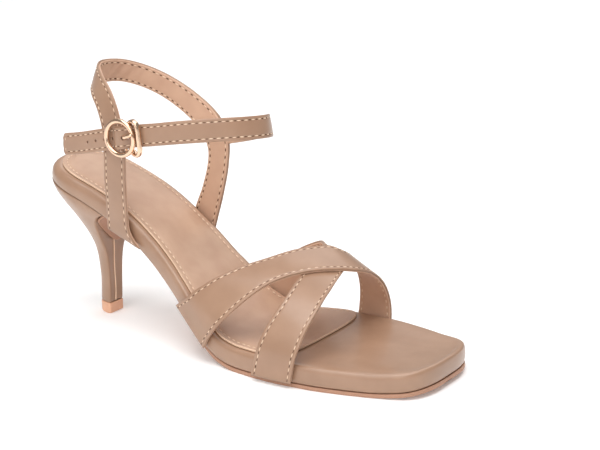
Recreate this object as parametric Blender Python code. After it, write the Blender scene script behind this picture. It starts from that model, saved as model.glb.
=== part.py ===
"""Strappy heeled sandal, right shoe: toe along +X, inner side +Y, floor at the lowest Z."""
import math

import bmesh
import bpy
import numpy as np

MM = 0.001

# Named sizes, millimetres
SHOE_LENGTH = 240.0
BALL_WIDTH = 83.0
SEAT_WIDTH = 49.0
HEEL_HEIGHT = 75.0
INSTEP_RISE = 40.0
ANKLE_WIDTH = 58.0
LOOP_HEIGHT = 138.0

FIT_GAP = 0.3
OUTSOLE_THICK = 2.0
TONGUE_THICK = 1.2
TONGUE_HALF = 20.0
TONGUE_INSET = 0.9
TONGUE_BEND = 5.0
WAIST_INSET = 3.2
WAIST_FROM = 95.0
WAIST_TO = 140.0
BOARD_THICK = 9.3
SEAT_THINNER = 0.8
SEAT_FADE_FROM = 14.0
SEAT_FADE_TO = 62.0
SOCK_THICK = 1.7
SOCK_INSET = 3.6
SOCK_REAR_GAP = 1.2
SOCK_FRONT = 0.727
SOCK_BACK_ROUND = 23.0
SOCK_CORNER = 12.0
SIDE_BULGE = 0.3
TIP_HEIGHT = 6.0
TIP_WIDTH = 11.0
TIP_CORNER = 0.7
TIP_ROUND = 0.4
TIP_ROUNDNESS = 0.92
HEEL_CORNER = 0.8

STRAP_THICK = 2.0
BUCKLED_THICK = 1.8
CROSSING_BITE = 0.35
LEG_SHARE = 0.11
LEG_FOOT = 0.3
SHOULDER_LIFT = 1.0
ANKLE_STRAP_WIDTH = 11.6

WIRE = 2.2
RING_OUTER = 19.4
BAR_WIRE = 1.8
KEEPER_WIRE = 1.8
PRONG_WIRE = 1.7
LOOP_BORE = 1.2
LOOP_OUTER = 2.0
LOOP_NEAR = 1.7
LOOP_FAR = 5.0
PLATE_REACH = 7.5
SLOT_FROM = 0.8
SLOT_TO = 5.0

FLOOR_Z = OUTSOLE_THICK + FIT_GAP

# Plan of the board: share of length, outer and inner half widths as shares of ball width
PLAN = (
    (0.00, 0.283, 0.300),
    (0.10, 0.284, 0.303),
    (0.19, 0.286, 0.303),
    (0.29, 0.295, 0.290),
    (0.39, 0.335, 0.288),
    (0.44, 0.378, 0.297),
    (0.49, 0.422, 0.320),
    (0.59, 0.486, 0.405),
    (0.68, 0.508, 0.478),
    (0.77, 0.488, 0.488),
    (0.85, 0.437, 0.461),
    (0.92, 0.372, 0.412),
    (0.97, 0.322, 0.360),
    (1.00, 0.300, 0.322),
)
HEEL_ROUND = 26.0
SLOPE_STEP = 1.0
STACK_STEP = 0.01
HEEL_POWER = 2.0
TOE_ROUND = 16.0
TOE_POWER = 3.0

# Underside of the board: share of length, share of heel height above the tread top
PROFILE = (
    (0.00, 0.998),
    (0.08, 0.937),
    (0.17, 0.838),
    (0.25, 0.718),
    (0.33, 0.548),
    (0.42, 0.310),
    (0.50, 0.098),
    (0.55, 0.022),
    (0.60, 0.000),
    (0.89, 0.000),
    (0.96, 0.018),
    (1.00, 0.040),
)

# Heel block: share of height, back and breast as shares of length, half width share of seat
# The last column says how round the plan is at the back
HEEL = (
    (0.00, 0.1170, 0.156, 0.110, 0.95),
    (0.19, 0.1160, 0.155, 0.112, 0.95),
    (0.30, 0.1120, 0.154, 0.118, 0.95),
    (0.39, 0.1080, 0.153, 0.128, 0.95),
    (0.48, 0.1012, 0.152, 0.150, 0.96),
    (0.57, 0.0902, 0.151, 0.200, 0.97),
    (0.68, 0.0690, 0.153, 0.282, 0.96),
    (0.78, 0.0420, 0.158, 0.362, 0.92),
    (0.86, 0.0140, 0.166, 0.420, 0.84),
    (0.92, 0.0040, 0.176, 0.462, 0.72),
    (0.97, 0.0020, 0.188, 0.486, 0.60),
    (1.00, 0.0020, 0.200, 0.492, 0.52),
)
HEEL_SHIFT = -3.0
SEAT_SHIFT = 0.7

# Toe straps: girth share from outer to inner edge, then rear and front edge, shares of length
OVER_STRAP = (
    (0.00, 0.424, 0.515),
    (0.11, 0.459, 0.538),
    (0.20, 0.490, 0.578),
    (0.30, 0.540, 0.632),
    (0.40, 0.612, 0.695),
    (0.50, 0.668, 0.738),
    (0.60, 0.690, 0.756),
    (0.75, 0.690, 0.762),
    (0.90, 0.682, 0.762),
    (1.00, 0.675, 0.757),
)
UNDER_STRAP = (
    (0.00, 0.650, 0.745),
    (0.11, 0.661, 0.752),
    (0.20, 0.675, 0.761),
    (0.30, 0.687, 0.764),
    (0.40, 0.680, 0.757),
    (0.50, 0.653, 0.738),
    (0.60, 0.612, 0.704),
    (0.70, 0.556, 0.650),
    (0.80, 0.503, 0.592),
    (0.90, 0.464, 0.549),
    (1.00, 0.434, 0.520),
)

# Instep form the toe straps lie on: share of length, rise above the board, apex share of ball
INSTEP = (
    (0.42, 0.72, 0.20),
    (0.50, 0.94, 0.22),
    (0.56, 1.00, 0.24),
    (0.625, 0.975, 0.24),
    (0.667, 0.925, 0.20),
    (0.708, 0.84, 0.11),
    (0.75, 0.74, 0.03),
    (0.80, 0.62, 0.00),
)

# Back strap: rear or lower edge, then front or upper edge; x of length, y of ankle, z of loop
# Each row: rear edge x, y, z, then front edge x, y, z
BACK_STRAP = (
    (0.2235, -0.4235, 0.400, 0.312, -0.4450, 0.348),
    (0.2240, -0.4270, 0.425, 0.2995, -0.4650, 0.378),
    (0.2250, -0.4330, 0.465, 0.2885, -0.4700, 0.421),
    (0.2265, -0.4500, 0.530, 0.2845, -0.4710, 0.505),
    (0.228, -0.470, 0.600, 0.284, -0.484, 0.600),
    (0.229, -0.474, 0.700, 0.284, -0.486, 0.705),
    (0.225, -0.466, 0.775, 0.272, -0.470, 0.820),
    (0.208, -0.430, 0.845, 0.246, -0.420, 0.915),
    (0.178, -0.340, 0.890, 0.204, -0.318, 0.968),
    (0.148, -0.180, 0.905, 0.165, -0.170, 0.993),
    (0.138, 0.010, 0.903, 0.148, 0.010, 0.993),
    (0.148, 0.200, 0.892, 0.160, 0.195, 0.980),
    (0.180, 0.350, 0.862, 0.194, 0.345, 0.950),
    (0.226, 0.425, 0.820, 0.240, 0.425, 0.912),
    (0.278, 0.455, 0.762, 0.298, 0.462, 0.858),
    (0.312, 0.460, 0.708, 0.352, 0.470, 0.790),
    (0.328, 0.458, 0.650, 0.382, 0.465, 0.700),
    (0.327, 0.450, 0.585, 0.383, 0.450, 0.600),
    (0.314, 0.440, 0.500, 0.371, 0.438, 0.490),
    (0.297, 0.431, 0.425, 0.353, 0.428, 0.375),
    (0.284, 0.4265, 0.352, 0.338, 0.4235, 0.285),
)

# Ankle strap centre line: x of length, y of ankle, z of loop, lean of its width in degrees
ANKLE_STRAP = (
    (0.352, 0.462, 0.712, 0.0),
    (0.385, 0.467, 0.722, 0.0),
    (0.432, 0.452, 0.744, 2.0),
    (0.485, 0.370, 0.775, 5.0),
    (0.532, 0.225, 0.806, 9.0),
    (0.559, 0.020, 0.826, 11.0),
    (0.544, -0.170, 0.833, 9.0),
    (0.502, -0.345, 0.833, 6.0),
    (0.435, -0.466, 0.820, 2.0),
    (0.380, -0.512, 0.804, 0.0),
    (0.345, -0.531, 0.794, 0.0),
    (0.2965, -0.531, 0.777, 0.0),
    (0.228, -0.526, 0.749, 0.0),
    (0.175, -0.510, 0.726, 0.0),
    (0.124, -0.494, 0.708, 0.0),
)

# Middles of the back loop and of the ankle strap's loop, shares of length
LOOP_MIDDLE = 0.292
STRAP_MIDDLE = 0.354

# Buckle seat on the ankle strap: ring centre as x of length, y of ankle, z of loop
BUCKLE_AT = (0.2965, -0.595, 0.777)
BUCKLE_TILT = 6.0
BAR_DROP = 3.9
BAR_BULGE = 2.2
BULGE_REACH = 6.6
KEEPER_OFFSET = 12.4
KEEPER_HALF = 8.6
KEEPER_DEPTH = 1.4
KEEPER_PROUD = 0.2


# Each piece's colour, roughness and metallic value
LOOKS = {
    "midsole": ((0.47, 0.32, 0.22), 0.42, 0.0),
    "sock_lining": ((0.66, 0.45, 0.31), 0.50, 0.0),
    "heel": ((0.45, 0.31, 0.21), 0.42, 0.0),
    "heel_tip": ((0.68, 0.36, 0.22), 0.50, 0.0),
    "outsole": ((0.55, 0.28, 0.15), 0.55, 0.0),
    "vamp_straps": ((0.47, 0.32, 0.22), 0.42, 0.0),
    "ankle_straps": ((0.47, 0.32, 0.22), 0.42, 0.0),
    "buckle_frame": ((0.85, 0.55, 0.38), 0.15, 1.0),
    "buckle_prong": ((0.85, 0.55, 0.38), 0.15, 1.0),
}


def rows_at(table, x):
    """Smooth value of every later column of a table at x in its first column."""
    data = np.array(table, dtype=float)
    keys = data[:, 0]
    x = float(np.clip(x, keys[0], keys[-1]))
    i = int(np.clip(np.searchsorted(keys, x) - 1, 0, len(keys) - 2))
    step = np.diff(keys)
    rise = np.diff(data[:, 1:], axis=0) / step[:, None]
    slopes = np.zeros_like(data[:, 1:])
    slopes[0], slopes[-1] = rise[0], rise[-1]
    for k in range(1, len(keys) - 1):
        same = rise[k - 1] * rise[k] > 0
        w1 = 2 * step[k] + step[k - 1]
        w2 = step[k] + 2 * step[k - 1]
        with np.errstate(divide="ignore", invalid="ignore"):
            mean = (w1 + w2) / (w1 / rise[k - 1] + w2 / rise[k])
        slopes[k] = np.where(same, mean, 0.0)
    t = (x - keys[i]) / step[i]
    h = step[i]
    a, b = data[i, 1:], data[i + 1, 1:]
    return (
        (1 + 2 * t) * (1 - t) ** 2 * a
        + t * (1 - t) ** 2 * h * slopes[i]
        + t * t * (3 - 2 * t) * b
        + t * t * (t - 1) * h * slopes[i + 1]
    )


def smooth_path(rows, count):
    """Even samples along a smooth curve through the rows."""
    data = np.array(rows, dtype=float)
    first = 2 * data[0] - data[1]
    last = 2 * data[-1] - data[-2]
    ext = np.vstack([first, data, last])
    fine = []
    for i in range(len(data) - 1):
        a, b, c, d = ext[i:i + 4]
        for t in np.linspace(0, 1, 12, endpoint=False):
            fine.append(
                0.5 * (2 * b + (c - a) * t + (2 * a - 5 * b + 4 * c - d) * t * t
                       + (3 * b - a - 3 * c + d) * t ** 3)
            )
    fine.append(data[-1])
    fine = np.array(fine)
    run = np.concatenate([[0], np.cumsum(np.linalg.norm(np.diff(fine, axis=0), axis=1))])
    want = np.linspace(0, run[-1], count)
    return np.column_stack([np.interp(want, run, fine[:, k]) for k in range(fine.shape[1])])


def board_bottom(x):
    rise = rows_at(PROFILE, x / SHOE_LENGTH)[0]
    return FLOOR_Z + rise * (HEEL_HEIGHT - FLOOR_Z)


def board_slope(x):
    return (board_bottom(x + SLOPE_STEP / 2) - board_bottom(x - SLOPE_STEP / 2)) / SLOPE_STEP


def board_top(x):
    thick = BOARD_THICK - SEAT_THINNER * at_rear(x)
    return board_bottom(x) + thick * math.sqrt(1 + board_slope(x) ** 2)


def at_rear(x):
    """One at the rear end of the seat, fading to nothing further forward."""
    t = min(max((SEAT_FADE_TO - x) / (SEAT_FADE_TO - SEAT_FADE_FROM), 0.0), 1.0)
    return t * t * (3 - 2 * t)


def seat_lean(x, share):
    """Forward shift of the seat's rear wall, which stands square to the sloping seat."""
    slope = board_slope(max(x, 1.0))
    return -share * BOARD_THICK * slope / math.sqrt(1 + slope * slope) * at_rear(x)


def side_widths(x):
    outer, inner = rows_at(PLAN, x / SHOE_LENGTH)
    return outer * BALL_WIDTH, inner * BALL_WIDTH


def rounded_end(angle, power):
    return 1 - math.cos(angle) ** (2 / power), math.sin(angle) ** (2 / power)


def shared_stations():
    """Stations used by board and sock alike, closer together where the shank turns level."""
    seat = np.linspace(0.133, 0.44, 9)[:-1]
    turn = np.linspace(0.44, 0.62, 9)
    toe = (0.677, 0.733, 0.783, 0.833, 0.883)
    return [share * SHOE_LENGTH for share in (*seat, *turn, *toe)]


def plan_ring(start=0.0, end=SHOE_LENGTH, back_round=HEEL_ROUND, back_power=HEEL_POWER,
              front_round=TOE_ROUND, front_power=TOE_POWER, inset=0.0):
    """Closed plan outline; point i on the outer side pairs with point n - i on the inner."""
    stations = []
    for deg in (10, 20, 32, 45, 60, 75):
        run, share = rounded_end(math.radians(deg), back_power)
        stations.append((start + back_round * run, share))
    first, last = start + back_round, end - front_round
    middle = [x for x in shared_stations() if first + 2 < x < last - 2]
    stations += [(x, 1.0) for x in [first] + middle + [last]]
    for deg in (78, 66, 54, 42, 30, 20, 10):
        run, share = rounded_end(math.radians(deg), front_power)
        stations.append((end - front_round * run, share))

    def side(x, share):
        outer, inner = side_widths(x)
        outer, inner = outer - inset, inner - inset
        mid = (inner - outer) / 2
        return mid - share * (outer + mid), mid + share * (inner - mid)

    def middle_y(x):
        outer, inner = side_widths(x)
        return (inner - outer) / 2

    ring = [(start, middle_y(start))]
    ring += [(x, side(x, s)[0]) for x, s in stations]
    ring.append((end, middle_y(end)))
    ring += [(x, side(x, s)[1]) for x, s in reversed(stations)]
    return np.array(ring)


def shrink(ring, by):
    """Move a plan outline inward by a distance."""
    ahead = np.roll(ring, -1, axis=0)
    behind = np.roll(ring, 1, axis=0)
    along = ahead - behind
    along /= np.linalg.norm(along, axis=1)[:, None]
    inward = np.column_stack([-along[:, 1], along[:, 0]])
    return ring + inward * by


def new_object(name, verts, faces):
    mesh = bpy.data.meshes.new(name)
    mesh.from_pydata([tuple(float(c) * MM for c in v) for v in verts], [], faces)
    mesh.validate()
    shape = bmesh.new()
    shape.from_mesh(mesh)
    bmesh.ops.triangulate(shape, faces=shape.faces[:])
    bmesh.ops.recalc_face_normals(shape, faces=shape.faces[:])
    if shape.calc_volume(signed=True) < 0:
        bmesh.ops.reverse_faces(shape, faces=shape.faces[:])
    shape.to_mesh(mesh)
    shape.free()
    obj = bpy.data.objects.new(name, mesh)
    bpy.context.scene.collection.objects.link(obj)
    for face in mesh.polygons:
        face.use_smooth = True
    return obj


def stack(name, rings, tips=True):
    """Close a stack of equal rings; caps run as a ladder from one side to the other."""
    n = len(rings[0])
    verts = [p for ring in rings for p in ring]
    faces = []
    for r in range(len(rings) - 1):
        for i in range(n):
            j = (i + 1) % n
            faces.append((r * n + i, r * n + j, (r + 1) * n + j, (r + 1) * n + i))
    for base, flip in ((0, True), ((len(rings) - 1) * n, False)):
        cap = []
        if tips:
            cap.append((0, 1, n - 1))
            half = n // 2
            cap += [(i, i + 1, n - i - 1, n - i) for i in range(1, half - 1)]
            cap.append((half - 1, half, half + 1))
        else:
            half = n // 2
            cap += [(i, i + 1, n - i - 2, n - i - 1) for i in range(half - 1)]
        for f in cap:
            f = tuple(base + k for k in f)
            faces.append(tuple(reversed(f)) if flip else f)
    return new_object(name, verts, faces)


def board():
    outline = plan_ring()
    layers = (
        (0.9, 0.0, 0.00, 0.00),
        (0.1, 0.0, 0.09, 0.00),
        (-SIDE_BULGE, 0.0, 0.45, -0.04),
        (0.0, 0.1, 0.80, -0.12),
        (0.5, 0.9, 0.93, -0.06),
        (1.8, 1.6, 1.00, 0.00),
    )
    rings = []
    for inset, rear_inset, share, rear_share in layers:
        ring = shrink(outline, inset)
        rolled = shrink(outline, inset + rear_inset)
        level = []
        for (x, y), (rx, ry) in zip(ring, rolled):
            blend = at_rear(x)
            x, y = x + blend * (rx - x), y + blend * (ry - y)
            part = share + rear_share * blend
            x += seat_lean(x, part)
            level.append((x, y, board_bottom(x) + part * (board_top(x) - board_bottom(x))))
        rings.append(level)
    return stack("midsole", rings)


def sock():
    front = SOCK_FRONT * SHOE_LENGTH
    start = SOCK_INSET + SOCK_REAR_GAP + seat_lean(0.0, 1.0)
    outline = plan_ring(start=start, end=front, back_round=SOCK_BACK_ROUND,
                        front_round=SOCK_CORNER, front_power=3.4, inset=SOCK_INSET)
    layers = (
        (0.0, 0.0),
        (0.0, 0.62),
        (0.5, 0.90),
        (2.0, 1.0),
    )
    rings = []
    for inset, share in layers:
        ring = shrink(outline, inset)
        rings.append([
            (x, y, board_top(x) + FIT_GAP + share * SOCK_THICK) for x, y in ring
        ])
    return stack("sock_lining", rings)


def heel_point(height, u, side):
    """Point on the heel: height share, u from back to breast, side -1 outer or 1 inner."""
    back, breast, half, roundness = rows_at(HEEL, height)
    back, breast = back * SHOE_LENGTH, breast * SHOE_LENGTH
    x = back + u * (breast - back)
    limit = min(u / roundness, 1.0)
    width = half * SEAT_WIDTH * (1 - (1 - limit) ** HEEL_POWER) ** (1 / HEEL_POWER)
    shift = HEEL_SHIFT * (1 - height) + SEAT_SHIFT * height
    top = board_bottom(x) - FIT_GAP
    low = TIP_HEIGHT + FIT_GAP
    return x, shift + side * width, low + height * (top - low)


def breast_line(height):
    x, _, z = heel_point(height, 1.0, 1)
    return x, z


def heel():
    shares = [0.0]
    for deg in (12, 24, 36, 50, 64, 78, 90):
        shares.append(1 - math.cos(math.radians(deg)))
    rings = []
    for height in (0.0, 0.08, 0.18, 0.30, 0.42, 0.54, 0.65, 0.74, 0.81, 0.87, 0.915, 0.95,
                   0.98, 1.0):
        _, _, _, roundness = rows_at(HEEL, height)
        us = [s * roundness for s in shares] + [roundness + (1 - roundness) * 0.5, 0.985, 1.0]
        pull = [0.0] * (len(us) - 1) + [HEEL_CORNER]
        outer, inner = [], []
        for u, trim in zip(us, pull):
            x, y, z = heel_point(height, u, -1)
            outer.append((x, y + trim, z))
            x, y, z = heel_point(height, u, 1)
            inner.append((x, y - trim, z))
        x, z = breast_line(height)
        middle = (outer[-1][1] + inner[-1][1]) / 2
        ring = [outer[0]] + outer[1:] + [(x, middle, z)] + inner[:0:-1]
        rings.append(ring)
    return stack("heel", rings)


def heel_tip():
    rings = []
    for level, grow in ((0.0, -0.5), (0.5, 0.0), (TIP_HEIGHT - TIP_ROUND, 0.1), (TIP_HEIGHT, -TIP_ROUND / 2)):
        back, breast = rows_at(HEEL, 0.0)[:2]
        back = back * SHOE_LENGTH - grow
        breast = breast * SHOE_LENGTH + grow
        half = TIP_WIDTH / 2 + grow
        outer, inner = [], []
        for deg in (0, 12, 24, 36, 50, 64, 78, 90):
            limit = 1 - math.cos(math.radians(deg))
            u = limit * TIP_ROUNDNESS
            width = half * (1 - (1 - limit) ** HEEL_POWER) ** (1 / HEEL_POWER)
            x = back + u * (breast - back)
            outer.append((x, HEEL_SHIFT - width, level))
            inner.append((x, HEEL_SHIFT + width, level))
        outer.append((breast, HEEL_SHIFT - half + TIP_CORNER, level))
        inner.append((breast, HEEL_SHIFT + half - TIP_CORNER, level))
        ring = [outer[0]] + outer[1:] + [(breast, HEEL_SHIFT, level)] + inner[:0:-1]
        rings.append(ring)
    return stack("heel_tip", rings)


def outsole():
    """Tread sheet: a path in profile from the lapped tongue to the toe, with its half widths."""
    lap = []
    for height in (0.590, 0.63, 0.69, 0.75, 0.81, 0.87, 0.93, 0.985):
        x, z = breast_line(height)
        lap.append((x, z, height))
    stations = []
    count = len(lap)
    for k, (x, z, height) in enumerate(lap):
        ahead = breast_line(min(height + STACK_STEP, 1.0))
        behind = breast_line(height - STACK_STEP)
        dx, dz = ahead[0] - behind[0], ahead[1] - behind[1]
        size = math.hypot(dx, dz)
        nx, nz = dz / size, -dx / size
        share = math.sin(math.radians(24 + 66 * k / (count - 1)))
        breast_half = rows_at(HEEL, height)[2] * SEAT_WIDTH - TONGUE_INSET
        reach = min(TONGUE_HALF, breast_half) * share
        stations.append((x, z, nx, nz, reach, TONGUE_THICK))
    start = lap[-1][0] + TONGUE_BEND
    end = SHOE_LENGTH
    xs = [start + t * (end - TOE_ROUND - start) for t in np.linspace(0, 1, 24)]
    points = [(x, 1.0) for x in xs]
    for deg in (78, 66, 54, 42, 30, 20, 10):
        run, share = rounded_end(math.radians(deg), TOE_POWER)
        points.append((end - TOE_ROUND * run, share))
    for x, share in points:
        slope = board_slope(x)
        size = math.sqrt(1 + slope * slope)
        blend = min(max((x - start) / (start + TONGUE_BEND), 0.0), 1.0)
        thick = TONGUE_THICK + (OUTSOLE_THICK - TONGUE_THICK) * blend
        stations.append((x, board_bottom(x), slope / size, -1 / size, share, thick))

    def sides(x, share, lapped):
        outer, inner = side_widths(x)
        inset = WAIST_INSET * min(max((WAIST_TO - x) / (WAIST_TO - WAIST_FROM), 0.0), 1.0)
        outer, inner = outer - inset, inner - inset
        if lapped:
            return -share, share
        mid = (inner - outer) / 2
        return mid - share * (outer + mid), mid + share * (inner - mid)

    layers = ((0.35, 0.0), (0.0, 0.25), (0.0, 0.8), (0.4, 1.0))
    rings = []
    for inset, depth in layers:
        outer, inner = [], []
        for k, (x, z, nx, nz, share, thick) in enumerate(stations):
            lo, hi = sides(x, share, k < count)
            drop = FIT_GAP + depth * thick
            px, pz = x + nx * drop, z + nz * drop
            outer.append((px, lo + inset, pz))
            inner.append((px, hi - inset, pz))
        x, z, nx, nz, _, thick = stations[0]
        drop = FIT_GAP + depth * thick
        end_x, end_z = breast_line(0.570)
        tail = (end_x + nx * drop, 0.0, end_z + nz * drop + inset)
        x = end - inset
        toe_y = sum(sides(end, 0.0, False)) / 2
        toe = (x, toe_y, board_bottom(end) - FIT_GAP - depth * OUTSOLE_THICK)
        rings.append([tail] + outer + [toe] + inner[::-1])
    return stack("outsole", rings)


def instep(x, girth, lift=0.0, bow=(0.0, 0.0)):
    """Point on the form under the toe straps; girth runs 0 outer sole edge to 1 inner."""
    outer, inner = side_widths(x)
    outer, inner = outer + bow[0], inner + bow[1]
    rise, apex = rows_at(INSTEP, x / SHOE_LENGTH)
    wall = FIT_GAP + SIDE_BULGE
    low = board_bottom(x) + LEG_FOOT
    shoulder = board_top(x) + SHOULDER_LIFT
    crown = shoulder + rise * INSTEP_RISE
    apex = apex * BALL_WIDTH
    if girth < LEG_SHARE:
        t = girth / LEG_SHARE
        return np.array((x, -outer - wall - lift, low + t * (shoulder - low)))
    if girth > 1 - LEG_SHARE:
        t = (1 - girth) / LEG_SHARE
        return np.array((x, inner + wall + lift, low + t * (shoulder - low)))
    turn = (girth - LEG_SHARE) / (1 - 2 * LEG_SHARE) * math.pi
    c, s = math.cos(turn), math.sin(turn)
    reach = outer + wall + lift + apex if c > 0 else inner + wall + lift - apex
    return np.array((x, apex - c * reach, shoulder + s * (crown + lift - shoulder)))


SECTION = (
    (0.00, 0.25), (0.00, 0.75), (0.035, 1.0), (0.27, 1.0), (0.5, 1.0), (0.73, 1.0),
    (0.965, 1.0), (1.00, 0.75), (1.00, 0.25), (0.965, 0.0), (0.73, 0.0), (0.5, 0.0),
    (0.27, 0.0), (0.035, 0.0),
)


def ribbon(name, rear, front, thick, outward):
    """Sweep the strap section between two edge curves; outward gives the thickness side."""
    rear, front = np.array(rear), np.array(front)
    centre = (rear + front) / 2
    along = np.gradient(centre, axis=0)
    across = front - rear
    face = np.cross(along, across)
    face /= np.linalg.norm(face, axis=1)[:, None]
    face *= np.sign(np.einsum("ij,ij->i", face, np.array(outward)))[:, None]
    rings = []
    for r, a, f in zip(rear, across, face):
        rings.append([r + a * s + f * (h * thick) for s, h in SECTION])
    order = [13, 0, 1, 2, 3, 4, 5, 6, 7, 8, 9, 10, 11, 12]
    rings = [[ring[k] for k in order] for ring in rings]
    return stack(name, rings, tips=False)


def toe_strap(name, table, lift_at=None):
    rear, front, outward = [], [], []
    for girth in np.linspace(0, 1, 41):
        back, fore = rows_at(table, girth)
        raise_by = 0.0
        if lift_at:
            middle, spread = lift_at
            gap = (girth - middle) / spread
            raise_by = (STRAP_THICK - CROSSING_BITE) / (1 + gap ** 6)
        ends = [side_widths(share * SHOE_LENGTH) for share in (back, fore)]
        mid = side_widths((back + fore) / 2 * SHOE_LENGTH)
        bow = [max(mid[k] - (ends[0][k] + ends[1][k]) / 2, 0.0) for k in (0, 1)]
        a = instep(back * SHOE_LENGTH, girth, raise_by, bow)
        b = instep(fore * SHOE_LENGTH, girth, raise_by, bow)
        rear.append(a)
        front.append(b)
        base = np.array(((a[0] + b[0]) / 2, 0.0, board_top((a[0] + b[0]) / 2) - 4))
        outward.append((a + b) / 2 - base)
    return ribbon(name, rear, front, STRAP_THICK, outward)


def join(keeper, other):
    step = keeper.modifiers.new("join", "BOOLEAN")
    step.operation = "UNION"
    step.solver = "EXACT"
    step.object = other
    bpy.context.view_layer.update()
    graph = bpy.context.evaluated_depsgraph_get()
    mesh = bpy.data.meshes.new_from_object(keeper.evaluated_get(graph))
    keeper.modifiers.clear()
    keeper.data = mesh
    bpy.data.objects.remove(other)
    return keeper


def carve(body, cutter):
    step = body.modifiers.new("carve", "BOOLEAN")
    step.operation = "DIFFERENCE"
    step.solver = "EXACT"
    step.object = cutter
    bpy.context.view_layer.update()
    graph = bpy.context.evaluated_depsgraph_get()
    mesh = bpy.data.meshes.new_from_object(body.evaluated_get(graph))
    body.modifiers.clear()
    body.data = mesh
    bpy.data.objects.remove(cutter)
    return body


def vamp():
    under = toe_strap("under", UNDER_STRAP)
    over = toe_strap("vamp_straps", OVER_STRAP, lift_at=(0.50, 0.23))
    return join(over, under)


def seated(rows):
    """Bring both lower ends of the back strap to the sides of the board."""
    for order, side in ((1, -1), (-1, 1)):
        for part in (0, 3):
            end = rows[::order][0]
            widths = side_widths(end[part])
            width = widths[0] if side < 0 else widths[1]
            delta = side * (width + SIDE_BULGE + FIT_GAP) - end[part + 1]
            for row, weight in zip(rows[::order], (1.0, 0.9, 0.6, 0.25)):
                row[part + 1] += weight * delta
    return rows


def back_strap():
    scale = np.array((SHOE_LENGTH, ANKLE_WIDTH, LOOP_HEIGHT) * 2)
    rows = seated(np.array(BACK_STRAP) * scale)
    path = smooth_path(rows, 61)
    rear, front = path[:, :3], path[:, 3:]
    centre = (rear + front) / 2
    outward = centre - np.array((LOOP_MIDDLE * SHOE_LENGTH, 0.0, 0.0))
    outward[:, 2] = 0.0
    return ribbon("back_strap", rear, front, STRAP_THICK, outward)


def ankle_line(count):
    """Centre line, with closer samples where the strap rides over the buckle's bar."""
    scale = np.array((SHOE_LENGTH, ANKLE_WIDTH, LOOP_HEIGHT, 1.0))
    path = smooth_path(np.array(ANKLE_STRAP) * scale, count * 6)
    centre = buckle_frame_axes()[0]
    off = np.hypot(path[:, 0] - centre[0], path[:, 2] - centre[2])
    lateral = path[:, 1] < 0
    reach = np.clip((off - 1.2) / (BULGE_REACH - 1.2), 0, 1)
    path[:, 1] -= np.where(lateral, BAR_BULGE * np.cos(reach * math.pi / 2) ** 2, 0)
    near = lateral & (off < BULGE_REACH + 1)
    keep = [i for i in range(len(path)) if i % 6 == 0 or (near[i] and i % 2 == 0)]
    if keep[-1] != len(path) - 1:
        keep.append(len(path) - 1)
    return path[keep]


def ankle_strap():
    path = ankle_line(58)
    rear, front, outward = [], [], []
    for x, y, z, lean in path:
        out = np.array((x - STRAP_MIDDLE * SHOE_LENGTH, y, 0.0))
        out /= np.linalg.norm(out)
        tilt = math.radians(lean)
        up = np.array((0.0, 0.0, math.cos(tilt))) - out * math.sin(tilt)
        half = ANKLE_STRAP_WIDTH / 2
        centre = np.array((x, y, z))
        rear.append(centre - up * half)
        front.append(centre + up * half)
        outward.append(out)
    return ribbon("ankle_strap", rear, front, BUCKLED_THICK, outward)


def buckle_frame_axes():
    tilt = math.radians(BUCKLE_TILT)
    centre = np.array(BUCKLE_AT) * (SHOE_LENGTH, ANKLE_WIDTH, LOOP_HEIGHT)
    forward = np.array((math.cos(tilt), 0.0, math.sin(tilt)))
    out = np.array((0.0, -1.0, 0.0))
    up = np.array((-math.sin(tilt), 0.0, math.cos(tilt)))
    return centre, forward, out, up


def buckle_point(e1, e2, e3):
    """Buckle coordinates: forward along the strap, out from the foot, up across the strap."""
    centre, forward, out, up = buckle_frame_axes()
    return centre + forward * e1 + out * e2 + up * e3


def tube(name, points, radius, sides=10, closed=False, deep=None):
    deep = deep or radius
    points = np.array(points, dtype=float)
    ahead = np.roll(points, -1, axis=0) - points
    behind = points - np.roll(points, 1, axis=0)
    if not closed:
        behind[0], ahead[-1] = ahead[0], behind[-1]
    along = ahead / np.linalg.norm(ahead, axis=1)[:, None]
    along += behind / np.linalg.norm(behind, axis=1)[:, None]
    along /= np.linalg.norm(along, axis=1)[:, None]
    plane = np.cross(points[1] - points[0], points[2 * len(points) // 3] - points[0])
    plane = plane / np.linalg.norm(plane)
    verts, faces = [], []
    for point, run in zip(points, along):
        side = np.cross(run, plane)
        side /= np.linalg.norm(side)
        for k in range(sides):
            turn = 2 * math.pi * k / sides
            verts.append(point + radius * math.cos(turn) * side + deep * math.sin(turn) * plane)
    count = len(points)
    for r in range(count if closed else count - 1):
        for k in range(sides):
            j = (k + 1) % sides
            q = (r + 1) % count
            faces.append((r * sides + k, r * sides + j, q * sides + j, q * sides + k))
    if not closed:
        faces.append(tuple(range(sides - 1, -1, -1)))
        faces.append(tuple(range((count - 1) * sides, count * sides)))
    return new_object(name, verts, faces)


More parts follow.
